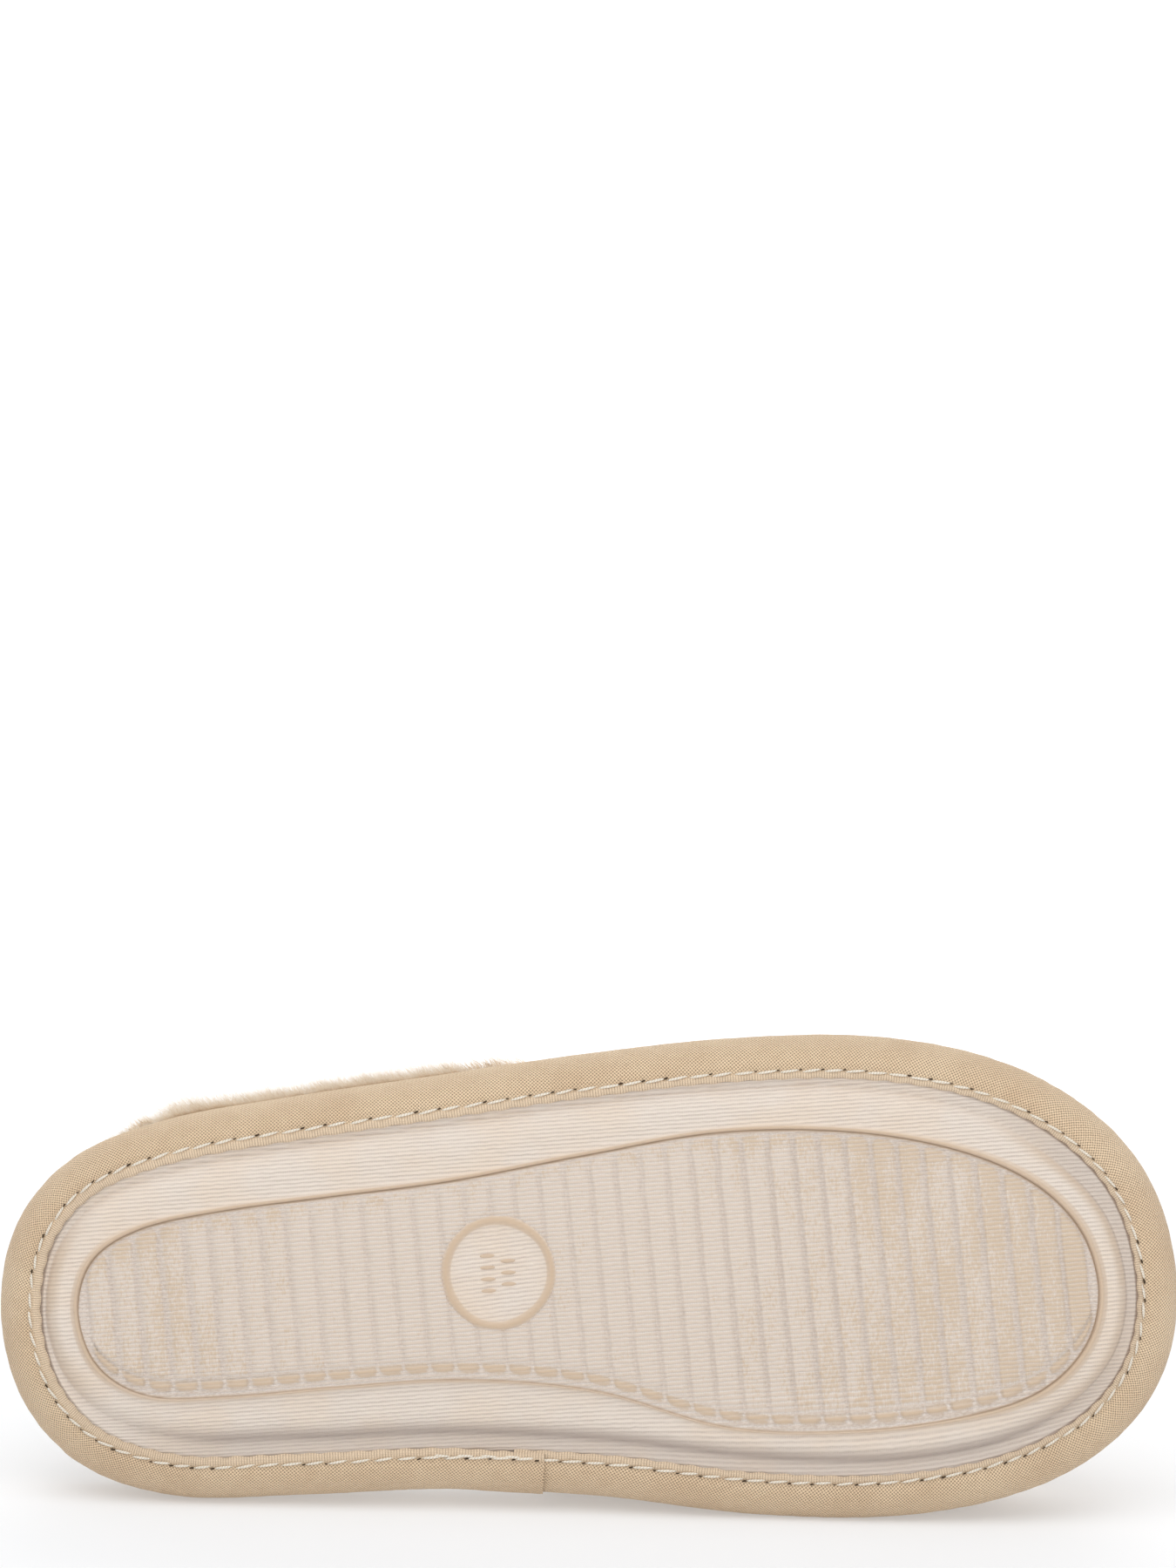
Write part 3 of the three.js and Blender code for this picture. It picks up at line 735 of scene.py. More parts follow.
def marginStops(valley):
    # Distances in from the tape, close together beside it and where the shoulder starts
    beyond = panel["marginReach"] - valley
    stops = [0, 0.3, 0.62, 0.65 * valley, valley - 0.25, valley - 0.05, valley + 0.15, valley + 0.45]
    return stops + [valley + 0.35 * beyond, valley + 0.65 * beyond, panel["marginReach"]]


def marginHeight(d, turn, side):
    # Height of the margin d in from the tape: up from the tape, down the hollow, over the shoulder
    valley, run = valleyAt(turn, side)
    if d < valley:
        return lerp(panel["tapeHeight"], panel["valleyHeight"], smooth(d, 0, valley * 0.8))
    over = min((d - valley) / run, 1)
    return lerp(panel["valleyHeight"], panel["marginHeight"], math.sin(over * math.pi / 2) ** 0.85)


def beadWidthAt(turn, side):
    # The bead is broad round heel and toe and narrow along the sides
    heel = 1 - smooth(turn, 0.06, 0.28)
    toe = 1 - smooth(1 - turn, 0.06, 0.36)
    narrower = 0 if side == outerSide else panel["beadWidthInner"] * (1 - max(heel, toe))
    return panel["beadWidth"] + panel["beadWidthToe"] * toe + panel["beadWidthHeel"] * heel - narrower


def beadRise(turn, side):
    # How far the bead stands up beside how it does at the toe
    toe = 1 - smooth(1 - turn, 0.1, 0.4)
    heel = 1 - smooth(turn, 0.1, 0.3)
    along = panel["beadRiseOuter" if side == outerSide else "beadRiseInner"]
    return lerp(along, 1, max(toe, 0.6 * heel))


def panelRung(x):
    # One line over the whole panel, from the middle of its back round over the tread and back again
    turns = {side: rungEnd(x, side) for side in (outerSide, innerSide)}
    halves = {}
    for side in (outerSide, innerSide):
        turn = turns[side]
        wide = beadWidthAt(turn, side)
        rise = beadRise(turn, side)
        line = []
        for inset, height in ("back", "back"), ("tuck", "back"), ("tuck", "tuck"):
            p = soleInset(turn, side, panel[inset + "Inset"])
            line.append((p, panel[height + "Height"], "under", 0))
        for stop in marginStops(valleyAt(turn, side)[0]):
            p = soleInset(turn, side, panel["tapeInset"] + stop)
            line.append((p, marginHeight(stop, turn, side), "margin", stop))
        last = line[-1][0]
        foot = beadInset(turn, side, beadStops[0] * wide)
        for fraction in marginFractions:
            away = panel["marginReach"] + (foot - last).length * fraction
            line.append((last.lerp(foot, fraction), marginHeight(away, turn, side), "margin", away))
        footHeight = marginHeight(panel["marginReach"] + (foot - last).length, turn, side)
        for stop, fall in zip(beadStops, beadHeights):
            foundation = footHeight if stop < 0 else panel["floor"]
            height = foundation * (1 - rise * (1 - fall))
            line.append((beadInset(turn, side, stop * wide), height, "bead", stop))
        halves[side] = line
    outerEnd, innerEnd = halves[outerSide][-1][0], halves[innerSide][-1][0]
    width = max((innerEnd - outerEnd).length, 1e-6)
    shrink = min(1, width / (2 * edgeStops[-1] + 6))
    stops = [stop * shrink for stop in edgeStops]
    middle = np.linspace(stops[-1], width - stops[-1], treadSteps + 1)[1:-1]
    across = stops + list(middle) + [width - stop for stop in reversed(stops)]
    tread = []
    for distance in across:
        p = outerEnd.lerp(innerEnd, distance / width)
        height, groove, raised = treadHeight(p.x, p.y, outerEnd.y, innerEnd.y)
        tread.append((p, height, "tread", (groove, raised, p.y - outerEnd.y, innerEnd.y - p.y)))
    centre = ((outerEnd + innerEnd) / 2, panel["backHeight"], "under", 0)
    rung = [centre] + halves[outerSide] + tread + list(reversed(halves[innerSide])) + [centre]
    outerCount = 1 + len(halves[outerSide])
    sides = [outerSide if i < outerCount else innerSide for i in range(len(rung))]
    return [point + (turns[side], side) for point, side in zip(rung, sides)]


# How strongly bare compound, painted shade in the creases and in the hollow, and patches show on the panel
tints = {
    "beadFoot": 0.2,
    "beadFootEnds": 0.6,
    "beadCrest": 0.9,
    "beadCrestInner": 0.66,
    "lobe": 0.48,
    "treadEdge": 0.5,
    # compound over the shoulder, partly painted shade on its slope
    "shoulder": 0.66,
    "shoulderInner": 0.7,
    # painted shade lines in the creases beside the tape, at the toe's shoulder and inside the bead
    "besideTapeShade": 0.16,
    "besideTapeShadeEnds": 0.75,
    "toeShoulderShade": 0.38,
    "beadLineShade": 0.6,
    "beadLineShadeInner": 0.12,
    # painted shade in the hollow beside the tape, on the outer and inner side and on its flat
    "hollowShadeOuter": 0.08,
    "hollowShadeInner": 0.15,
    "hollowShadeFlat": 0.42,
    "trenchWaist": 0.6,
    "patchHeel": 0.42,
    "patchBall": 0.52,
    "patchToe": 0.4,
    "patchEdge": 0.35,
    "patchRibEnds": 1.6,
    "patchClouds": 0.3,
}


def nearEnds(turn):
    # One round heel and toe, none along the sides
    return max(1 - smooth(turn, 0.05, 0.2), smooth(turn, 0.66, 0.86))


def compoundAt(kind, extra, turn, side):
    # Bare compound on the bead, fading out into the cloth beside it
    if kind == "bead":
        foot = lerp(tints["beadFoot"], tints["beadFootEnds"], nearEnds(turn))
        along = tints["beadCrest" if side == outerSide else "beadCrestInner"]
        crest = lerp(along, tints["beadCrest"], nearEnds(turn))
        return foot * smooth(extra, -1.95, -1.2) + (crest - foot) * smooth(extra, -0.95, -0.35)
    if kind == "tread":
        groove, raised, fromOuter, fromInner = extra
        lobe = tints["lobe"] * raised * (1 - smooth(fromInner, 3.3, 4))
        return max(tints["treadEdge"] * (1 - smooth(min(fromOuter, fromInner), 0.1, 0.5)), lobe)
    return 0


def shoulderAt(kind, extra, turn, side):
    # Compound tinting the cloth over the pad's shoulder, at the heel's end and round the toe, which also
    # serves as painted shade on the shoulder's slope
    if kind != "margin":
        return 0
    valley, run = valleyAt(turn, side)
    ends = max(1 - smooth(turn, 0.06, 0.16), smooth(turn, 0.74, 0.86))
    share = 1 if side == outerSide else tints["shoulderInner"]
    fallen = 1 - smooth(extra, valley + 0.5 * run, valley + 1.7 * run)
    return tints["shoulder"] * ends * share * smooth(extra, valley - 0.05, valley + 0.3) * fallen


def creaseAt(kind, extra, turn, side):
    # Painted shade: dark lines in the creases beside the tape, where the shoulder starts and where the bead
    # meets the tread
    if kind == "margin":
        valley = valleyAt(turn, side)[0]
        beside = lerp(tints["besideTapeShade"], tints["besideTapeShadeEnds"], nearEnds(turn))
        beside *= 1 - smooth(extra, 0.28, 0.64)
        toe = tints["toeShoulderShade"] * smooth(turn, 0.78, 0.92)
        return max(beside, toe * bell(extra - valley, 0.2))
    if kind != "bead":
        return 0
    ends = max(1 - smooth(turn, 0.1, 0.25), smooth(turn, 0.7, 0.85))
    along = tints["beadLineShade" if side == outerSide else "beadLineShadeInner"]
    return lerp(along, tints["beadLineShade"], ends) * bell(extra - 0.78, 0.2)


def hollowShadeAt(kind, extra, turn, side):
    # Painted shade in the hollow beside the tape: lilac-grey shade mixed into the cloth's colour
    if kind != "margin":
        return 0
    valley = valleyAt(turn, side)[0]
    waist = smooth(turn, 0.16, 0.3) * (1 - smooth(turn, 0.75, 0.9))
    share = tints["hollowShadeOuter"] if side == outerSide else lerp(tints["hollowShadeInner"], 1, waist)
    flat = lerp(0.45 * share, tints["hollowShadeFlat"], smooth(turn, 0.7, 0.85))
    beside = flat * (1 - smooth(extra, valley - 0.6, valley + 0.3))
    fade = 1.1 if extra < valley else 1.9
    return max(beside, share * bell(extra - valley, fade))


def treadAt(x, y, kind, extra):
    return float(kind == "tread")


def trenchAt(x, y, kind, extra):
    # The grooves between the tread's ribs
    if kind != "tread":
        return 0
    return extra[0] * lerp(tints["trenchWaist"], 1, fromWaist(x))


def patchAt(x, y, kind, extra):
    # How readily the compound comes through the tread's cloth: most from the ball to the toe, at
    # the heel, along the outer bead and at the ribs' inner ends
    if kind != "tread":
        return 0
    groove, raised, fromOuter, fromInner = extra
    ends = tints["patchHeel"] * (1 - smooth(x, 20, 90)) + tints["patchBall"] * smooth(x, 145, 215)
    ends += tints["patchToe"] * smooth(x, 233, 245)
    edge = tints["patchEdge"] * (1 - smooth(fromOuter, 1.0, 6))
    tips = tints["patchRibEnds"] * (1 - smooth(fromInner, 3.2, 4.1))
    clouds = tints["patchClouds"] * (wander(x * 0.09, y * 0.05, 1.7) + wander(x * 0.5, y * 0.16, 5.2))
    return min(max((ends + edge + clouds + tips) * raised, 0), tints["patchRibEnds"])


def clothLine(x, y):
    # Across the foot, measured over the cloth, whose ribs bend to follow the inner edge
    middle, half = readSole(turnOfShare(x / slipper["length"]))
    edge = slipper["ballWidth"] * (middle + half)
    follow = smooth(y, soleCloth["followFrom"], soleCloth["followTo"]) * soleCloth["followShare"]
    spread = math.copysign(soleCloth["ribSpread"] * max(0, abs(y) - soleCloth["spreadFrom"]) ** 1.5, y)
    along = y + x * math.tan(math.radians(soleCloth["ribTurned"]))
    return along - follow * (edge - soleCloth["followTo"]) + spread


def buildPanel():
    places = rungPlaces()
    rungs = [panelRung(x) for x in places]
    columns = len(rungs[0]) - 1

    def place(column, row):
        p, height = rungs[row][column][:2]
        return Vector((p.x, p.y, underside(p.x) + height))

    def uvOf(column, row):
        p = rungs[row][column][0]
        return (p.x, clothLine(p.x, p.y))

    def byPlace(pick):
        def value(column, row):
            p, height, kind, extra = rungs[row][column][:4]
            return pick(p.x, p.y, kind, extra)
        return value

    def bySide(pick):
        return lambda column, row: pick(*rungs[row][column][2:])

    extras = {
        "compound": bySide(compoundAt),
        "tread": byPlace(treadAt),
        "trench": byPlace(trenchAt),
        "patch": byPlace(patchAt),
        "hollow": bySide(hollowShadeAt),
        "shoulder": bySide(shoulderAt),
        "crease": bySide(creaseAt),
    }
    bm = gridPiece(columns, len(rungs) - 1, place, uvOf, extras)
    return finishPiece(bm, "solePanel", soleMaterial)


solePanel = buildPanel()
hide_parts("outsole")
print("sole panel", len(solePanel.data.polygons))


def buildDisc():
    # The round size disc: a moulded rim round a plain cloth face with two rows of plain marks
    given = sizeDisc
    edge = given["radius"]
    rim = given["rim"]
    profile = [
        (edge + 0.75, panel["floor"] + 0.3), (edge + 0.3, panel["ribTop"] + 0.3), (edge, 0.1),
        (edge - 0.35, given["crest"]), (edge - rim / 2, given["crest"] - 0.06),
        (edge - rim + 0.35, given["crest"] + 0.02), (edge - rim, given["floor"] * 0.7),
        (edge - rim - 0.4, given["floor"]), (edge * 0.6, given["floor"]),
        (edge * 0.3, given["floor"]), (0, given["floor"]),
    ]
    compoundAlong = [0.0, 0.3, 0.75, 0.95, 0.95, 0.85, 0.75, 0.15, 0, 0, 0]

    def place(column, row):
        r, height = profile[row]
        angle = 2 * math.pi * column / given["steps"]
        outside = 0.3 * wander(math.cos(angle) * 4.5, math.sin(angle) * 4.5, 4.4)
        inside = 0.4 * wander(math.cos(angle) * 1.2, math.sin(angle) * 1.2, 8.8)
        uneven = lerp(outside, inside, min(row / 6, 1)) * (row < 9)
        x = given["along"] + (r + uneven) * math.cos(angle)
        y = given["across"] + (r + uneven) * math.sin(angle)
        return Vector((x, y, underside(x) + height))

    def uvOf(column, row):
        p = place(column, row)
        turn = math.radians(given["clothTurned"])
        return (p.x, p.y * math.cos(turn) + p.x * math.sin(turn))

    soleLayers = ("compound", "tread", "trench", "patch", "hollow", "shoulder", "crease")
    extras = {name: lambda column, row: 0.0 for name in soleLayers}
    extras["compound"] = lambda column, row: compoundAlong[row]
    bm = gridPiece(given["steps"], len(profile) - 1, place, uvOf, extras)
    compound = bm.verts.layers.float["compound"]
    for marks, aside in ((4, -given["rowGap"] / 2), (3, given["rowGap"] / 2)):
        for i in range(marks):
            y = given["across"] + (i - (marks - 1) / 2) * given["markPitch"]
            x = given["along"] + aside
            made = bmesh.ops.create_uvsphere(bm, u_segments=16, v_segments=8, radius=1)
            shape = Matrix.Diagonal((given["markLength"] / 2, given["markWidth"] / 2, given["markHeight"], 1))
            spot = Matrix.Translation((x, y, underside(x) + given["floor"]))
            bmesh.ops.transform(bm, matrix=spot @ shape, verts=made["verts"])
            for vert in made["verts"]:
                vert[compound] = 0.85
    return finishPiece(bm, "sizeDisc", soleMaterial, recalc=False)


disc = buildDisc()
print("size disc")

# Rand: canvas strip round the padded edge, turned under, stitched, and lapped at the inner waist
rand = {
    "aboveTread": 2.4,
    "widestShare": 0.46,
    "seamHeel": 7.4,
    "seamToe": 8.4,
    "tapeInset": 9.75,
    "topRound": 5,
    "sideSteps": 11,
    "topSteps": 9,
    "lapAt": 0.453,
    "lapRun": 7,
    "lapRise": 0.5,
    "spacing": 0.95,
    "stitchPitch": 5.15,
    "dimple": 0.45,
    "pucker": 0.16,
    "scallop": 0.15,
    "scallopPitch": 5.4,
    "gather": 0.2,
}
# Points of the section: the taped edge up to the seam, the side, the top, and what the sole hides
seamPoint = 8
undersidePoints = 14
outsidePoints = seamPoint + 1 + rand["sideSteps"] + rand["topSteps"]


def walkRound(start, spacing, overrun):
    # Even steps round the outline from a point of the inner side, toe first, past it by overrun,
    # and the whole way round
    fine = 1400
    startTurn = turnOfShare(start)
    stations = [(lerp(startTurn, 1, i / fine), innerSide) for i in range(fine + 1)]
    stations += [(1 - i / (2 * fine), outerSide) for i in range(1, 2 * fine + 1)]
    stations += [(startTurn * i / fine, innerSide) for i in range(1, fine + 1)]
    beyond = [(lerp(startTurn, 1, i / fine), innerSide) for i in range(1, fine // 4)]
    travelled = 0.0
    last = onOutline(*stations[0])
    walk = [(stations[0][0], stations[0][1], 0.0)]
    total = None
    for i, (turn, side) in enumerate(stations[1:] + beyond):
        p = onOutline(turn, side)
        travelled += (p - last).length
        last = p
        if i == len(stations) - 2:
            total = travelled
        if total and travelled > total + overrun:
            break
        if travelled >= walk[-1][2] + spacing:
            walk.append((turn, side, travelled))
    return walk, total


randStart = rand["lapAt"] - rand["lapRun"] / slipper["length"]
randWalk, randRound = walkRound(randStart, rand["spacing"], rand["lapRun"])
stitchCount = round(randRound / rand["stitchPitch"])


def lapRise(travelled):
    # The end that lies on top stands off the one beneath it
    return rand["lapRise"] * smooth(travelled - randRound, -16, 1)


def seamInset(turn):
    # How far in the stitching runs: a little further round the toe than round the heel
    return lerp(rand["seamHeel"], rand["seamToe"], smooth(turn, 0.1, 0.95))


def randPath(turn, side, travelled):
    # The strip's section: inset from the outline, height over the sole and share of the tape
    x = onOutline(turn, side).x
    top = randTop(x) - underside(x)
    low = rand["aboveTread"]
    widest = lerp(low, top, rand["widestShare"])
    phase = travelled / randRound * stitchCount * 2 * math.pi
    between = 0.5 - 0.5 * math.cos(phase)
    wave = rand["scallop"] * math.sin(travelled / rand["scallopPitch"] * 2 * math.pi)
    wave += 0.5 * rand["scallop"] * wander(travelled * 0.5, 2.2, 0)
    lift = 0.18 * wander(travelled * 0.35, 9.1, 0)
    edge = rand["tapeInset"] + wave
    seam = seamInset(turn)
    wide = edge - seam
    tape = low - 0.15 + lift
    # The taped edge, turned up at its rim, and the dimple that the stitching pulls
    path = [
        (edge - 0.7, low + 1.0, 1), (edge + 0.02, low + 0.72, 1), (edge + 0.05, low + 0.35, 1),
        (edge - 0.15, tape + 0.08, 1), (edge - 0.28 * wide, tape, 1), (edge - 0.5 * wide, tape - 0.04, 1),
        (seam + 0.3 * wide, tape + 0.05, 1), (seam + 0.13 * wide, low + 0.1, 0.7),
        (seam, low + rand["dimple"] * (1 - 0.5 * between), 0.3),
    ]
    for i in range(1, rand["sideSteps"] + 1):
        angle = math.pi / 2 * i / rand["sideSteps"]
        inset = seam * (1 - math.sin(angle))
        height = low + (widest - low) * (1 - math.cos(angle))
        pinch = rand["pucker"] * math.exp(-(i - 1) / 1.6)
        height += pinch * (0.5 - between) - 0.12 * math.sin(min(i / 3, 1) * math.pi)
        path.append((inset, height, 0))
    for i in range(1, rand["topSteps"] + 1):
        angle = math.pi / 2 * i / rand["topSteps"]
        inset = rand["topRound"] * (1 - math.cos(angle))
        path.append((inset, widest + (top - widest) * math.sin(angle), 0))
    # Over the padding's top and back under the footbed and the sole
    path += [(6.4, top, 0), (7.4, top - 0.1, 0), (7.4, top - 1.1, 0)]
    path += [(5.2, top - 1.3, 0), (1.6, widest, 0), (3.2, low + 3.6, 0), (6.8, low + 1.4, 0)]
    return path


def buildRand():
    sections = []
    for turn, side, travelled in randWalk:
        path = randPath(turn, side, travelled)
        rise = lapRise(travelled)
        # The strip gathers most round the heel's and the toe's bends
        gathered = max(0, 0.75 - abs(turn - 0.14) * 7) + 0.6 * max(0, 0.8 - abs(turn - 0.8) * 6)
        section = []
        for k, (inset, height, edge) in enumerate(path):
            p = soleInset(turn, side, inset)
            fade = math.sin(math.pi * clamped((k - seamPoint) / 18))
            crease = rand["gather"] * fade * (0.35 + gathered) * wander(travelled * 0.42, k * 0.09, 6.1)
            q = soleInset(turn, side, inset - crease - rise * (k < outsidePoints))
            z = underside(p.x) + height - rise * (k < undersidePoints)
            section.append((Vector((q.x, q.y, z)), edge, travelled))
        sections.append(section)
    columns = len(sections[0])
    runs = [0.0]
    for k in range(columns):
        a, b = sections[0][k][0], sections[0][(k + 1) % columns][0]
        runs.append(runs[-1] + (b - a).length)

    def place(column, row):
        return sections[row][column % columns][0]

    def uvOf(column, row):
        return (sections[row][0][2], runs[column])

    extras = {"edge": lambda column, row: float(sections[row][column % columns][1])}
    bm = gridPiece(columns, len(sections) - 1, place, uvOf, extras)
    closeHoles(bm)
    return finishPiece(bm, "randStrip", randMaterial)


randStrip = buildRand()
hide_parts("rand")
print("rand", len(randStrip.data.polygons))

# Stitches: short threads over the seam, with painted shade in the needle holes between them
stitches = {
    "run": 4.5,
    "radius": 0.31,
    "rise": 0.22,
    "sink": 0.16,
    "slant": 0.22,
    "uneven": 0.2,
    "sides": 6,
    "rings": 7,
    "holeLength": 0.52,
    "holeWidth": 0.2,
    "holeDepth": 0.16,
    "holeAside": -0.26,  # the needle holes show beside the thread, on the rand's side
    "doubledFrom": 2,  # sewn twice over a stretch just short of the lap
    "doubledTo": 22,
    "doubledAside": 0.34,
}


def strayed(i, kind):
    return wander(i * 1.37, kind * 3.3, 0.5)


def buildStitches():
    given = stitches
    threads = bmesh.new()
    uvLayer = threads.loops.layers.uv.new("pattern")
    holes = bmesh.new()
    marks = [travelled for turn, side, travelled in randWalk]

    def onSeam(travelled, sideways, lift):
        # A point of the seam, between two stations of the rand unless the side changes there
        i = min(max(bisect_right(marks, travelled) - 1, 0), len(marks) - 2)
        turn, side, mark = randWalk[i]
        nextTurn, nextSide, nextMark = randWalk[i + 1]
        if side == nextSide:
            turn = lerp(turn, nextTurn, min((travelled - mark) / (nextMark - mark), 1))
        p = soleInset(turn, side, seamInset(turn) + sideways)
        return Vector((p.x, p.y, underside(p.x) + rand["aboveTread"] - lift - lapRise(travelled)))

    def sewThread(middle, run, tilt, aside):
        made = bmesh.ops.create_grid(threads, x_segments=given["sides"], y_segments=given["rings"], size=1)
        count = given["sides"] + 1
        spots = {}
        for j, vert in enumerate(made["verts"]):
            around, along = (j % count) / given["sides"], (j // count) / given["rings"]
            spots[vert] = (around, along)
            angle = 2 * math.pi * around
            fat = given["radius"] * math.sin(math.pi * min(max(along, 0.004), 0.996)) ** 0.35
            bow = given["rise"] * math.sin(math.pi * along) - given["sink"] * (2 * along - 1) ** 2
            sideways = fat * math.cos(angle) + tilt * (2 * along - 1) + aside
            vert.co = onSeam(middle + (along - 0.5) * run, sideways, bow + fat * math.sin(angle) * 0.85)
        for face in {face for vert in made["verts"] for face in vert.link_faces}:
            for loop in face.loops:
                around, along = spots[loop.vert]
                loop[uvLayer].uv = (along * run, around)

    pitch = randRound / stitchCount
    for i in range(stitchCount + 1):  # one more, on the lap
        middle = (i + 0.5) * pitch
        run = given["run"] * (1 + given["uneven"] * strayed(i, 1))
        sewThread(middle, run, given["slant"] + given["uneven"] * strayed(i, 2), 0.12 * strayed(i, 5))
        fromLap = randRound - middle
        if given["doubledFrom"] < fromLap < given["doubledTo"]:
            tilt = -0.12 + given["uneven"] * strayed(i, 6)
            sewThread(middle + 0.45 * pitch, run * 0.9, tilt, given["doubledAside"])
        # A small dark ellipsoid at each needle hole is painted shade for the hole's inside
        if strayed(i, 3) > -0.22:
            where = middle + pitch / 2
            spot = onSeam(where, given["holeAside"], 0.02)
            ahead = (onSeam(where + 0.6, 0.1, 0.02) - onSeam(where - 0.6, -0.1, 0.02)).normalized()
            size = 1 + 0.5 * strayed(i, 4)
            hole = bmesh.ops.create_icosphere(holes, subdivisions=1, radius=1)
            length, width = given["holeLength"] * size, given["holeWidth"] * size
            shape = Matrix.Diagonal((length, width, given["holeDepth"], 1))
            turned = Matrix.Rotation(math.atan2(ahead.y, ahead.x), 4, "Z")
            bmesh.ops.transform(holes, matrix=Matrix.Translation(spot) @ turned @ shape, verts=hole["verts"])
    bmesh.ops.remove_doubles(threads, verts=threads.verts, dist=0.006)
    sewn = finishPiece(threads, "randStitches", threadMaterial)
    return sewn, finishPiece(holes, "needleHoleShades", holeMaterial)


for piece in buildStitches():
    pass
print("stitches", stitchCount)

# Insole: the padded footbed filling the rand, its plush face and its pile
plush = {
    "pileHeight": 6.5,
    "dish": 3.2,
    "edge": 0.6,
    "closed": 9.2,
    "throatSide": 0.452,
    "throatRun": 0.018,
    "base": 5.7,
    "underTop": 1.7,
    "overTop": 0.3,
    "backing": 1.2,  # how far its face lies below the tips of the pile
    "middleInset": 31,
    "lumps": 0.35,
    "steps": 130,
}


def openness(x):
    # One in the open heel, none under the vamp
    throat = plush["throatSide"]
    return 1 - smooth(x / slipper["length"], throat - plush["throatRun"], throat - 0.003)


def plushReach(x, side):
    pastHeel = smooth(x / slipper["length"], 0.07, 0.12)
    return openness(x) * lerp(0.3, 1 if side == outerSide else 0.3, pastHeel)


def plushInset(x, side):
    return plush["closed"] - plushReach(x, side) * (plush["closed"] - plush["edge"])


def pileOver(x):
    return plush["pileHeight"] * lerp(0.4, 1, openness(x))


def buildInsole():
    steps = plush["steps"]
    stations = [(i / steps, outerSide) for i in range(steps + 1)]
    stations += [(1 - i / steps, innerSide) for i in range(1, steps + 1)]
    # Inset and share of the height: from the base up inside the rand, then over its top to the middle
    inside = [(7.0, 0), (3.2, 0.22), (1.8, 1), (3.2, 1.6), (5, 1.85), (7.9, 1.9), (7.9, 2.0)]
    over = [(0.6, 0), (0.1, 0.2), (0, 0.4), (0.5, 0.62), (1.3, 0.8), (2.6, 0.93), (4.5, 1), (8, 0.93)]
    over += [(13, 0.72), (20, 0.5), (28, 0.42)]

    def middleAt(turn):
        ends = (soleInset(turn, side, plush["middleInset"]) for side in (outerSide, innerSide))
        return sum(ends, Vector((0, 0))) / 2

    def ringPoint(row, turn, side):
        x = onOutline(turn, side).x
        top = randTop(x) - underside(x)
        pileTop = pileOver(x) - plush["backing"]
        if row == 0:
            return middleAt(turn), plush["base"]
        if row <= len(inside):
            inset, level = inside[row - 1]
            widest = lerp(rand["aboveTread"], top, rand["widestShare"])
            low = plush["base"]
            under = top - plush["underTop"]
            height = lerp(low, widest, level) if level <= 1 else lerp(widest, under, level - 1)
            height = under if row == len(inside) - 1 else height
            height = top + plush["overTop"] if row == len(inside) else height
            return soleInset(turn, side, inset), height
        if row <= len(inside) + len(over):
            more, share = over[row - len(inside) - 1]
            height = top + plush["overTop"] + (pileTop - plush["overTop"]) * share
            return soleInset(turn, side, plushInset(x, side) + more), height
        return middleAt(turn), top + pileTop - plush["dish"] * openness(x)

    rows = len(inside) + len(over) + 1

    def place(column, row):
        turn, side = stations[column]
        p, height = ringPoint(row, turn, side)
        lumps = plush["lumps"] * wander(p.x * 0.11, p.y * 0.11, 2.0) if row > len(inside) + 1 else 0
        return Vector((p.x, p.y, underside(p.x) + height + lumps))

    def uvOf(column, row):
        return place(column, row).xy

    bm = gridPiece(len(stations) - 1, rows, place, uvOf)
    return finishPiece(bm, "footbed", backingMaterial)


footbed = buildInsole()
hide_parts("insole")
print("footbed", len(footbed.data.polygons))

# Upper: the vamp over the forefoot, open at the throat, one wall with its edge turned in.
# Places along are in turns of the outline or in millimetres from the heel.
vamp = {
    "wall": 3,
    "feather": 4.6,
    "instep": 79,
    "bulge": 0.05,
    "throatSide": 0.452,
    "throatCrest": 0.54,
    "toeRoundFrom": 0.84,
    "gap": 0.3,
    "along": 84,
    "over": 96,
    "hemSteps": 7,
    "hemTurn": 0.0042,
    "bunching": 1.15,
    "pucker": 0.7,
    "softness": 0.9,
    "crease": 0.8,
    "creaseAt": 168,
    "creaseWidth": 5.5,
}
lastRows = [
    {"at": 0.25, "height": 1.1, "lean": 0.02, "fullness": 2.2},
    {"at": 0.42, "height": 1.06, "lean": 0.03, "fullness": 2.25},
    {"at": 0.53, "height": 1, "lean": 0.04, "fullness": 2.3},
    {"at": 0.63, "height": 0.875, "lean": 0.045, "fullness": 2.35},
    {"at": 0.74, "height": 0.735, "lean": 0.045, "fullness": 2.45},
    {"at": 0.86, "height": 0.6, "lean": 0.035, "fullness": 2.55},
    {"at": 1, "height": 0.5, "lean": 0.02, "fullness": 2.6},
]
readLast = rowReader(lastRows, ["height", "lean", "fullness"], byTurn=False)


def lastPoint(turn, angle, shrink):
    # A point of the last over the foot: angle 0 at the inner base, over the ridge, pi at the outer
    outer = soleInset(turn, outerSide, vamp["feather"] + shrink)
    inner = soleInset(turn, innerSide, vamp["feather"] + shrink)
    x = (outer.x + inner.x) / 2
    height, lean, fullness = readLast(x / slipper["length"])
    tip = slipper["length"] - vamp["feather"] - shrink
    start = vamp["toeRoundFrom"] * slipper["length"]
    rounding = clamped((x - start) / (tip - start))
    atInstep = vamp["instep"] - randTop(vamp["throatCrest"] * slipper["length"])
    rise = (atInstep * height - shrink) * math.sqrt(max(1 - rounding**2, 0))
    up = max(math.sin(angle), 0) ** (2 / fullness)
    out = math.copysign(abs(math.cos(angle)) ** (2 / fullness), math.cos(angle))
    swell = 1 + vamp["bulge"] * math.sin(math.pi * min(1, up * 1.2)) ** 2
    p = outer.lerp(inner, (1 + out * swell) / 2)
    y = p.y + slipper["ballWidth"] * lean * up**2 * (1 - out**2)
    return Vector((p.x, y, randTop(p.x) + vamp["gap"] + rise * up))


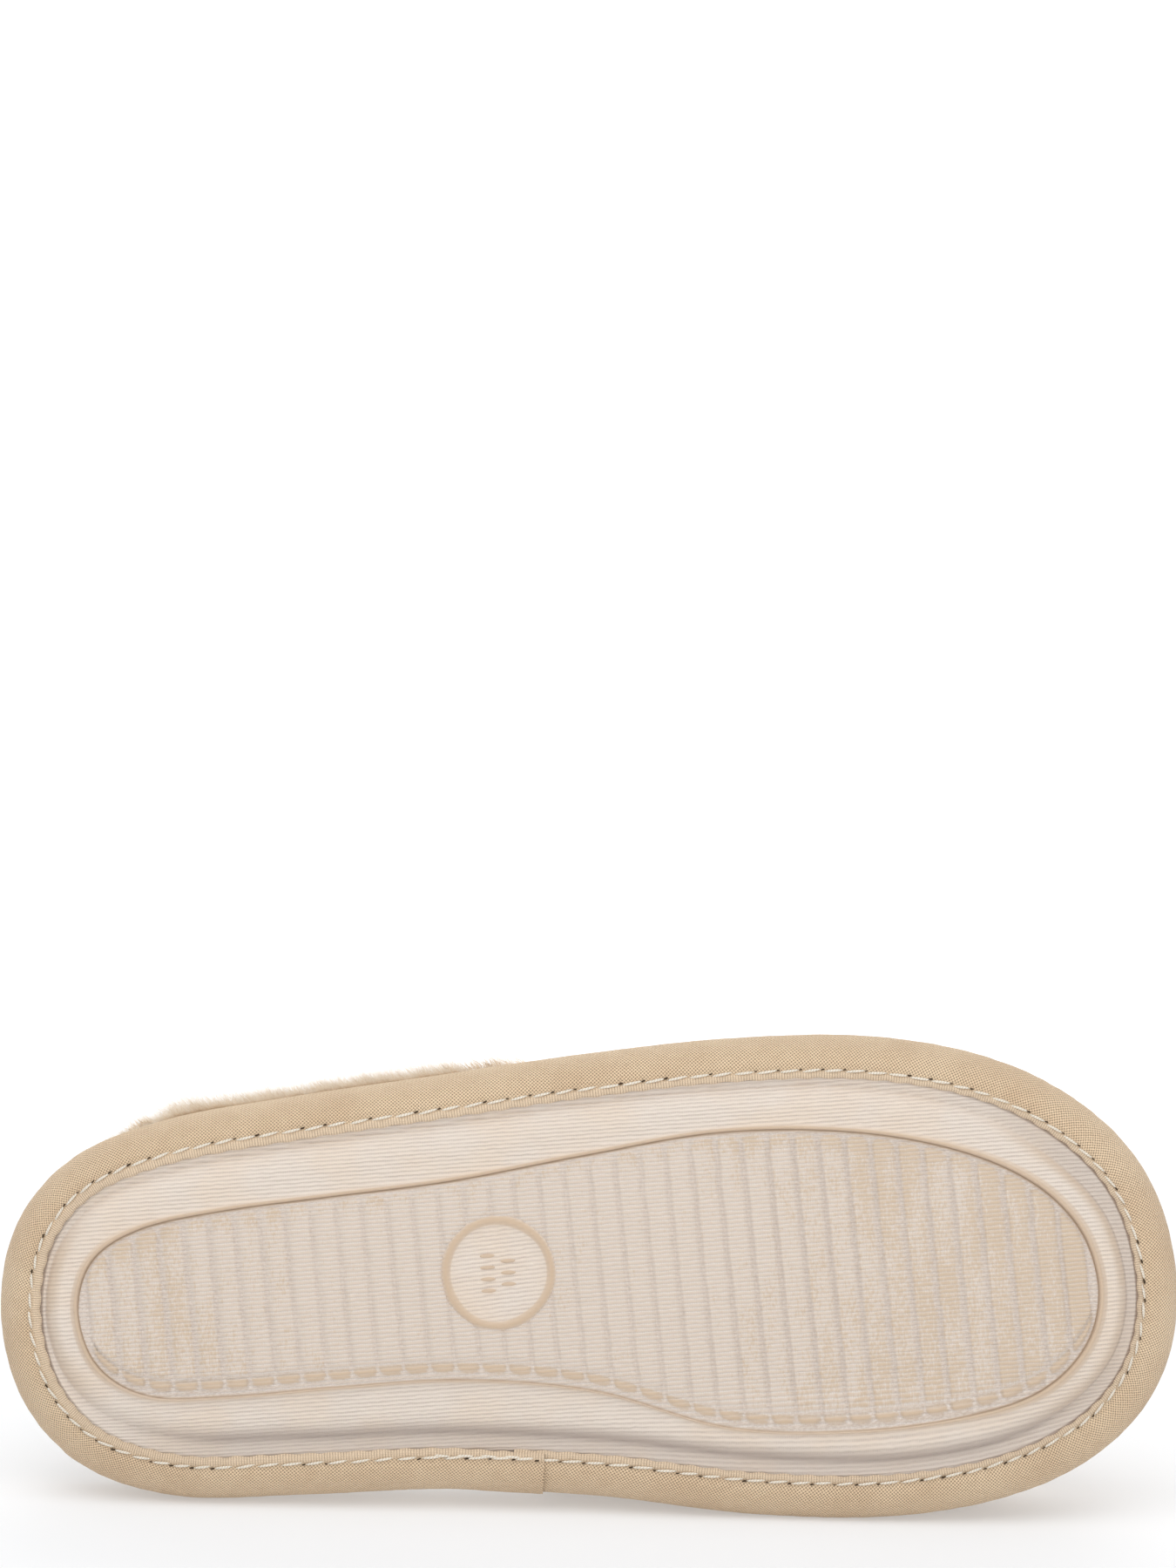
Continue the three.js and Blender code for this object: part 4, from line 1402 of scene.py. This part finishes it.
def throatAt(z):
    # Where the throat's edge is at a height, seen from the side
    side = vamp["throatSide"] * slipper["length"]
    crest = vamp["throatCrest"] * slipper["length"]
    low, control, high = randTop(side), vamp["instep"] * 0.72, vamp["instep"]
    t = clamped((z - low) / (high - low))
    for _ in range(4):
        at = lerp(lerp(low, control, t), lerp(control, high, t), t)
        t = clamped(t + (z - at) / (high - low))
    return lerp(lerp(side, side + 3, t), lerp(side + 3, crest, t), t)


def throatTurn(angle, shrink):
    turn = turnOfShare(vamp["throatSide"])
    for _ in range(8):
        p = lastPoint(turn, angle, shrink)
        goal = throatAt(p.z)
        turn += (goal - p.x) / slipper["length"] * 0.6
    return turn


def buildVamp():
    # Outside from toe to throat, round the throat's edge and back along the lining to the toe
    angles = [math.pi * i / vamp["over"] for i in range(vamp["over"] + 1)]
    outerTurns = [throatTurn(angle, 0) for angle in angles]
    innerTurns = [throatTurn(angle, vamp["wall"]) for angle in angles]
    steps = vamp["along"]
    hem = vamp["hemSteps"]
    rows = steps + hem + steps

    def spot(column, row):
        # Turn along the foot and how far inside the outer face
        outer, inner = outerTurns[column], innerTurns[column]
        if row <= steps:
            return lerp(outer, 1, (1 - row / steps) ** vamp["bunching"]), 0.0
        if row < steps + hem:
            bend = math.pi * (row - steps) / hem
            turn = lerp(outer, inner, (row - steps) / hem) - vamp["hemTurn"] * math.sin(bend)
            return turn, vamp["wall"] * (1 - math.cos(bend)) / 2
        return lerp(inner, 1, ((row - steps - hem) / steps) ** vamp["bunching"]), vamp["wall"]

    def place(column, row):
        turn, shrink = spot(column, row)
        angle = angles[column]
        p = lastPoint(turn, angle, shrink)
        base = math.sin(angle)
        foot = math.exp(-base * 7)
        toe = smooth(p.x / slipper["length"], 0.72, 0.95)
        around = p.x * 0.9 + p.y * 0.6
        pucker = vamp["pucker"] * foot * (0.35 + toe) * wander(around * 0.33, shrink * 0.05, 4.0)
        softness = vamp["softness"] * wander(p.x * 0.028, p.y * 0.03, 8.0) * base
        fromCrease = p.x - vamp["creaseAt"] - 0.12 * abs(p.y)
        crease = vamp["crease"] * bell(fromCrease, vamp["creaseWidth"]) * smooth(base, 0.5, 0.95)
        push = (pucker + softness - crease) * min(1, (1 - turn) * 22)
        out = (p - Vector((p.x, 2, randTop(p.x)))).normalized()
        return p + out * push * smooth(base, 0.0, 0.12)

    def distances(points):
        # How far each point lies along the line through them all
        out = [0.0]
        for a, b in zip(points, points[1:]):
            out.append(out[-1] + (b - a).length)
        return out

    lengths = distances([place(vamp["over"] // 2, row) for row in range(rows + 1)])
    widths = distances([place(column, steps // 2) for column in range(vamp["over"] + 1)])

    def uvOf(column, row):
        return (lengths[row], widths[column])

    bm = gridPiece(vamp["over"], rows, place, uvOf)
    closeHoles(bm)
    return finishPiece(bm, "vampShell", upperMaterial)


vampShell = buildVamp()
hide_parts("upper")
print("vamp", len(vampShell.data.polygons))

# Pile: blades of plush standing on the footbed, round its edge and inside the vamp
fur = {
    "hemBlades": 31000,
    "edgeBlades": 30000,
    "bedBlades": 48000,
    "liningBlades": 46000,
    "length": 7,
    "width": 0.15,
    "fineWidth": 0.075,
    "broadWidth": 0.255,
    "hemCurl": 0.3,
    "curl": 0.25,
    "droop": 0.1,
    "hemSweep": -0.55,
    "edgeSweep": -0.3,
    "bedSweep": -0.35,
    "liningSteps": 96,
}
# How far the pile stands past the rand on the outer side of the open heel, in millimetres
hemRows = [
    {"at": 0.1, "past": -1.2},
    {"at": 0.118, "past": 0.1},
    {"at": 0.14, "past": 0.9},
    {"at": 0.155, "past": 1.9},
    {"at": 0.172, "past": 2.2},
    {"at": 0.2, "past": 1.6},
    {"at": 0.24, "past": 1.3},
    {"at": 0.38, "past": 1.6},
    {"at": 0.4, "past": 1.1},
    {"at": 0.416, "past": 0},
    {"at": 0.43, "past": -1.8},
]
readHem = rowReader(hemRows, ["past"], byTurn=False)
dice = np.random.default_rng(11)


def buildBlades(name, count, sample, width, rows, curlSize):
    # Blades are cut from one long ladder: every so many rungs a rung-to-rung face is left out
    made = [sample() for _ in range(count)]
    roots = np.array([blade[0] for blade in made])
    ways = np.array([tuple(blade[1]) for blade in made])
    sizes = np.array([blade[2] for blade in made])
    ways /= np.linalg.norm(ways, axis=1)[:, None]
    curl = dice.normal(0, 1, (count, 3))
    curl -= (curl * ways).sum(1)[:, None] * ways
    curl /= np.linalg.norm(curl, axis=1)[:, None]
    flat = np.cross(ways, curl)
    points = np.empty((count, rows, 2, 3))
    for k in range(rows):
        along = k / (rows - 1)
        centre = roots + ways * (sizes * along)[:, None]
        centre += curl * (curlSize * sizes * along**2)[:, None]
        centre += flat * (curlSize * 0.45 * sizes * math.sin(along * 5.0))[:, None]
        centre[:, 2] -= fur["droop"] * sizes * along**2
        half = flat * (width * (0.5 - 0.42 * along**1.5))
        points[:, k, 0] = centre - half
        points[:, k, 1] = centre + half
    bend = np.array(toModel.to_3x3())
    points = points.reshape(-1, 3) @ bend.T + np.array(toModel.translation)
    bm = bmesh.new()
    bmesh.ops.create_grid(bm, x_segments=1, y_segments=rows * count - 1, size=1)
    bm.faces.ensure_lookup_table()
    between = [face for i, face in enumerate(bm.faces) if i % rows == rows - 1]
    bmesh.ops.delete(bm, geom=between, context="FACES_ONLY")
    loose = [edge for edge in bm.edges if not edge.link_faces]
    bmesh.ops.delete(bm, geom=loose, context="EDGES")
    mesh = meshFrom(bm, name)
    mesh.vertices.foreach_set("co", points.ravel())
    corners = np.empty(len(mesh.loops), dtype=np.int64)
    mesh.loops.foreach_get("vertex_index", corners)
    chance = np.repeat(dice.random(count), rows * 2)
    level = np.tile(np.repeat(np.linspace(0, 1, rows), 2), count)
    layer = mesh.uv_layers.new(name="pattern")
    layer.data.foreach_set("uv", np.stack([chance[corners], level[corners]], axis=1).ravel())
    mesh.update()
    piece = addSmooth(mesh, pileMaterial)
    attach(piece, "root")
    return piece


skyward = 60  # higher than the footbed anywhere, to look down from
padTree = BVHTree.FromPolygons(
    [vert.co for vert in footbed.data.vertices],
    [tuple(face.vertices) for face in footbed.data.polygons],
)


def padHeight(x, y, otherwise):
    # Height of the footbed's face over a point of the plan
    hit = padTree.ray_cast(toModel @ Vector((x, y, skyward)), -footUp)
    if hit[0] is None:
        return otherwise
    return skyward - hit[3] / mm


def outward(turn, side):
    a, b = soleInset(turn, side, 0), soleInset(turn, side, 1)
    return (a - b).normalized()


def hemSample():
    # The fringe seen over the rand from below, along the outer side of the open heel
    share = 0.095 + 0.36 * dice.random() ** 1.05
    turn = turnOfShare(share)
    past = readHem(share)[0]
    level = dice.random()
    out = outward(turn, outerSide)
    x = slipper["length"] * share
    inset = plushInset(x, outerSide) + 0.2 + 2.6 * level
    p = soleInset(turn, outerSide, inset)
    lock = wander(p.x * 0.3, level * 1.3, 1.0) + 0.5 * wander(p.x * 0.9, level * 2, 4.0)
    rise = 0.3 + 1.1 * level + dice.normal(0, 0.22)
    reach = (past + inset - 0.4) * (0.86 + 0.2 * dice.random()) * (1 + 0.16 * lock)
    size = max(reach, 1.2) / max(math.cos(min(rise, 1.1)), 0.45)
    sweep = fur["hemSweep"] + 0.5 * lock + dice.normal(0, 0.22)
    way = Vector((out.x + sweep, out.y, math.tan(min(rise, 1.2)) * 0.8))
    height = randTop(p.x) + 0.5 + 3.6 * level * openness(p.x)
    height = min(height, padHeight(p.x, p.y, height) - 0.2)
    return (p.x, p.y, height), way, size


def edgeSample():
    # Round the rest of the open heel's edge
    turn = dice.random() * turnOfShare(plush["throatSide"] + 0.004)
    side = outerSide if dice.random() < 0.4 else innerSide
    x = onOutline(turn, side).x
    reach = plushReach(min(x, (plush["throatSide"] - plush["throatRun"]) * slipper["length"]), side)
    level = dice.random()
    inset = plush["closed"] - reach * (plush["closed"] - plush["edge"]) + 0.6 + 3.5 * level**2
    p = soleInset(turn, side, inset)
    out = outward(turn, side)
    clump = wander(p.x * 0.23, p.y * 0.23, 1.0)
    lean = lerp(0.55, 1.35, level) + dice.normal(0, 0.2)
    sweep = fur["edgeSweep"] + 0.5 * clump
    aside = dice.normal(0, 0.12)
    way = Vector((out.x * math.cos(lean) + sweep, out.y * math.cos(lean) + aside, math.sin(lean)))
    height = padHeight(p.x, p.y, randTop(p.x) + 0.6) - 0.4
    size = fur["length"] * (0.45 + 0.25 * dice.random()) * (1 + 0.25 * clump)
    return (p.x, p.y, height), way, size


def bedSample():
    # Over the footbed's face, as far in as the vamp shows it
    for _ in range(40):
        share = 0.012 + dice.random() * 0.52
        turn = turnOfShare(share)
        x = share * slipper["length"]
        outerEdge = soleInset(turn, outerSide, plushInset(x, outerSide) + 0.9)
        innerEdge = soleInset(turn, innerSide, plushInset(x, innerSide) + 0.9)
        if innerEdge.y - outerEdge.y > dice.random() * 90:
            break
    across = dice.random()
    p = outerEdge.lerp(innerEdge, across)
    top = padHeight(p.x, p.y, randTop(p.x) + 1) - 0.4
    clump = Vector((wander(p.x * 0.16, p.y * 0.16, 3.0), wander(p.x * 0.16, p.y * 0.16, 6.0)))
    forward = fur["bedSweep"] + clump.x * 1.1 + dice.normal(0, 0.2)
    way = Vector((forward, clump.y * 1.1 + dice.normal(0, 0.2), 1))
    size = fur["length"] * (0.45 + 0.3 * dice.random()) * lerp(0.6, 1, openness(p.x))
    return (p.x, p.y, top), way, size


def liningSample():
    # Inside the vamp and at the edge of its throat
    angle = math.pi * (0.02 + 0.96 * dice.random())
    start = liningTurns[int(angle / math.pi * (fur["liningSteps"] - 0.01))]
    deep = dice.random() ** 1.7
    turn = start - 0.002 + deep * 0.2
    p = lastPoint(turn, angle, vamp["wall"] + 0.05)
    middle = Vector((p.x, 2, randTop(p.x) + 8))
    inwards = (middle - p).normalized()
    clump = Vector((wander(p.x * 0.2, p.y * 0.2, p.z * 0.2), wander(p.z * 0.2, p.x * 0.2, 6.0), 0))
    outOfThroat = lerp(1.0, 0.3, smooth(deep, 0.0, 0.12))
    way = inwards * 0.9 + Vector((-outOfThroat, 0, 0)) + clump * 0.6
    size = fur["length"] * (0.55 + 0.3 * dice.random())
    return tuple(p), way, size


liningAngles = [math.pi * (i + 0.5) / fur["liningSteps"] for i in range(fur["liningSteps"])]
liningTurns = [throatTurn(angle, vamp["wall"]) for angle in liningAngles]
buildBlades("pileHem", fur["hemBlades"], hemSample, fur["fineWidth"], 4, fur["hemCurl"])
buildBlades("pileEdge", fur["edgeBlades"], edgeSample, fur["width"], 3, fur["curl"])
buildBlades("pileBed", fur["bedBlades"], bedSample, fur["broadWidth"], 3, fur["curl"])
buildBlades("pileLining", fur["liningBlades"], liningSample, fur["broadWidth"], 3, fur["curl"])
print("pile")

# Studio: pale floor rising into the backdrop, soft light from above and all round
studio = {
    "floorColour": (0.592, 0.6, 0.612, 1),
    "worldColour": (1, 1, 1, 1),
    "worldStrength": 0.54,
    "keyPower": 15,
    "keySize": 1.8,
    "keyPlace": (-0.12, -0.6, 1.5),
    "frontPower": 7,
    "frontSize": 1.4,
    "frontPlace": (0.5, -1.8, 0.4),
    "backPower": 9,
    "backSize": 1.5,
    "backPlace": (0.15, 1.6, 1.1),
    "glowNear": 0.33,  # keeps the shadows light
    "glow": 0.75,  # lifts the far floor and the backdrop to white
    "glowFrom": 0.22,
    "glowTo": 0.9,
    "floorWidth": 8,
    "floorFront": -4,
    "wallDistance": 3,
    "wallHeight": 4,
    "wallBend": 1.2,
    "steps": 24,
}


def buildStudio():
    bm = bmesh.new()
    bmesh.ops.create_grid(bm, x_segments=1, y_segments=studio["steps"], size=0.5)
    bend = studio["wallBend"]
    for vert in bm.verts:
        t = vert.co.y + 0.5
        x = vert.co.x * studio["floorWidth"]
        if t < 0.5:
            vert.co = (x, lerp(studio["floorFront"], studio["wallDistance"] - bend, t * 2), 0)
        elif t < 0.9:
            angle = (t - 0.5) / 0.4 * math.pi / 2
            y = studio["wallDistance"] - bend + bend * math.sin(angle)
            vert.co = (x, y, bend * (1 - math.cos(angle)))
        else:
            vert.co = (x, studio["wallDistance"], lerp(bend, studio["wallHeight"], (t - 0.9) * 10))
    material, tree, shader = newMaterial("Studio floor", roughness=0.9)
    shader.inputs["Base Color"].default_value = studio["floorColour"]
    shader.inputs["Emission Color"].default_value = (1, 1, 1, 1)
    coords = tree.nodes.new("ShaderNodeTexCoord").outputs["Object"]
    away = tree.nodes.new("ShaderNodeVectorMath")
    away.operation = "LENGTH"
    tree.links.new(coords, away.inputs[0])
    glow = rangeOf(tree, away.outputs["Value"], studio["glowFrom"], studio["glowTo"],
                   studio["glowNear"], studio["glow"])
    tree.links.new(glow, shader.inputs["Emission Strength"])
    floor = addSmooth(meshFrom(bm, "studioFloor"), material)
    world = bpy.data.worlds.new("Studio")
    bpy.context.scene.world = world
    world.use_nodes = True
    background = world.node_tree.nodes["Background"]
    background.inputs["Color"].default_value = studio["worldColour"]
    background.inputs["Strength"].default_value = studio["worldStrength"]
    for name in ("key", "front", "back"):
        light = bpy.data.lights.new(name + "Light", "AREA")
        light.energy = studio[name + "Power"]
        light.shape = "SQUARE"
        light.size = studio[name + "Size"]
        lamp = addObject(name + "Light", light)
        lamp.location = studio[name + "Place"]
        towards = Vector((0, 0, 0.05)) - lamp.location
        lamp.rotation_euler = towards.to_track_quat("-Z", "Y").to_euler()


buildStudio()

# Camera: long lens looking at the sole from a little above its square-on line
view = {
    "width": 1350,
    "height": 1800,
    "sensor": 36,
    "distance": 1.3,
    "pitch": -7.0,
    "roll": 1.5,
    "solePixels": 1358.5,
    "middlePixel": (677, 1484),
    "aimAlong": 133,
    "aimAcross": 1.5,
    "aimUp": 6,
    "farthest": 50,
}


def placeCamera():
    camera = bpy.data.cameras.new("camera")
    camera.sensor_fit = "HORIZONTAL"
    camera.sensor_width = view["sensor"]
    across = slipper["length"] * mm * view["width"] / view["solePixels"]
    camera.lens = view["sensor"] * view["distance"] / across
    camera.clip_end = view["farthest"]
    eye = addObject("camera", camera)
    turn = Matrix.Rotation(math.radians(90 + view["pitch"]), 4, "X")
    turn = turn @ Matrix.Rotation(math.radians(view["roll"]), 4, "Z")
    target = toModel @ Vector((view["aimAlong"], view["aimAcross"], view["aimUp"]))
    pixel = view["sensor"] / view["width"] / camera.lens
    x = (view["middlePixel"][0] - view["width"] / 2) * pixel
    y = -(view["middlePixel"][1] - view["height"] / 2) * pixel
    ray = turn @ Vector((x, y, -1))
    eye.matrix_world = Matrix.Translation(target - ray * view["distance"]) @ turn
    bpy.context.scene.camera = eye


placeCamera()
bpy.context.scene.view_settings.view_transform = "Standard"
bpy.context.scene.view_settings.look = "None"
print("studio and camera")
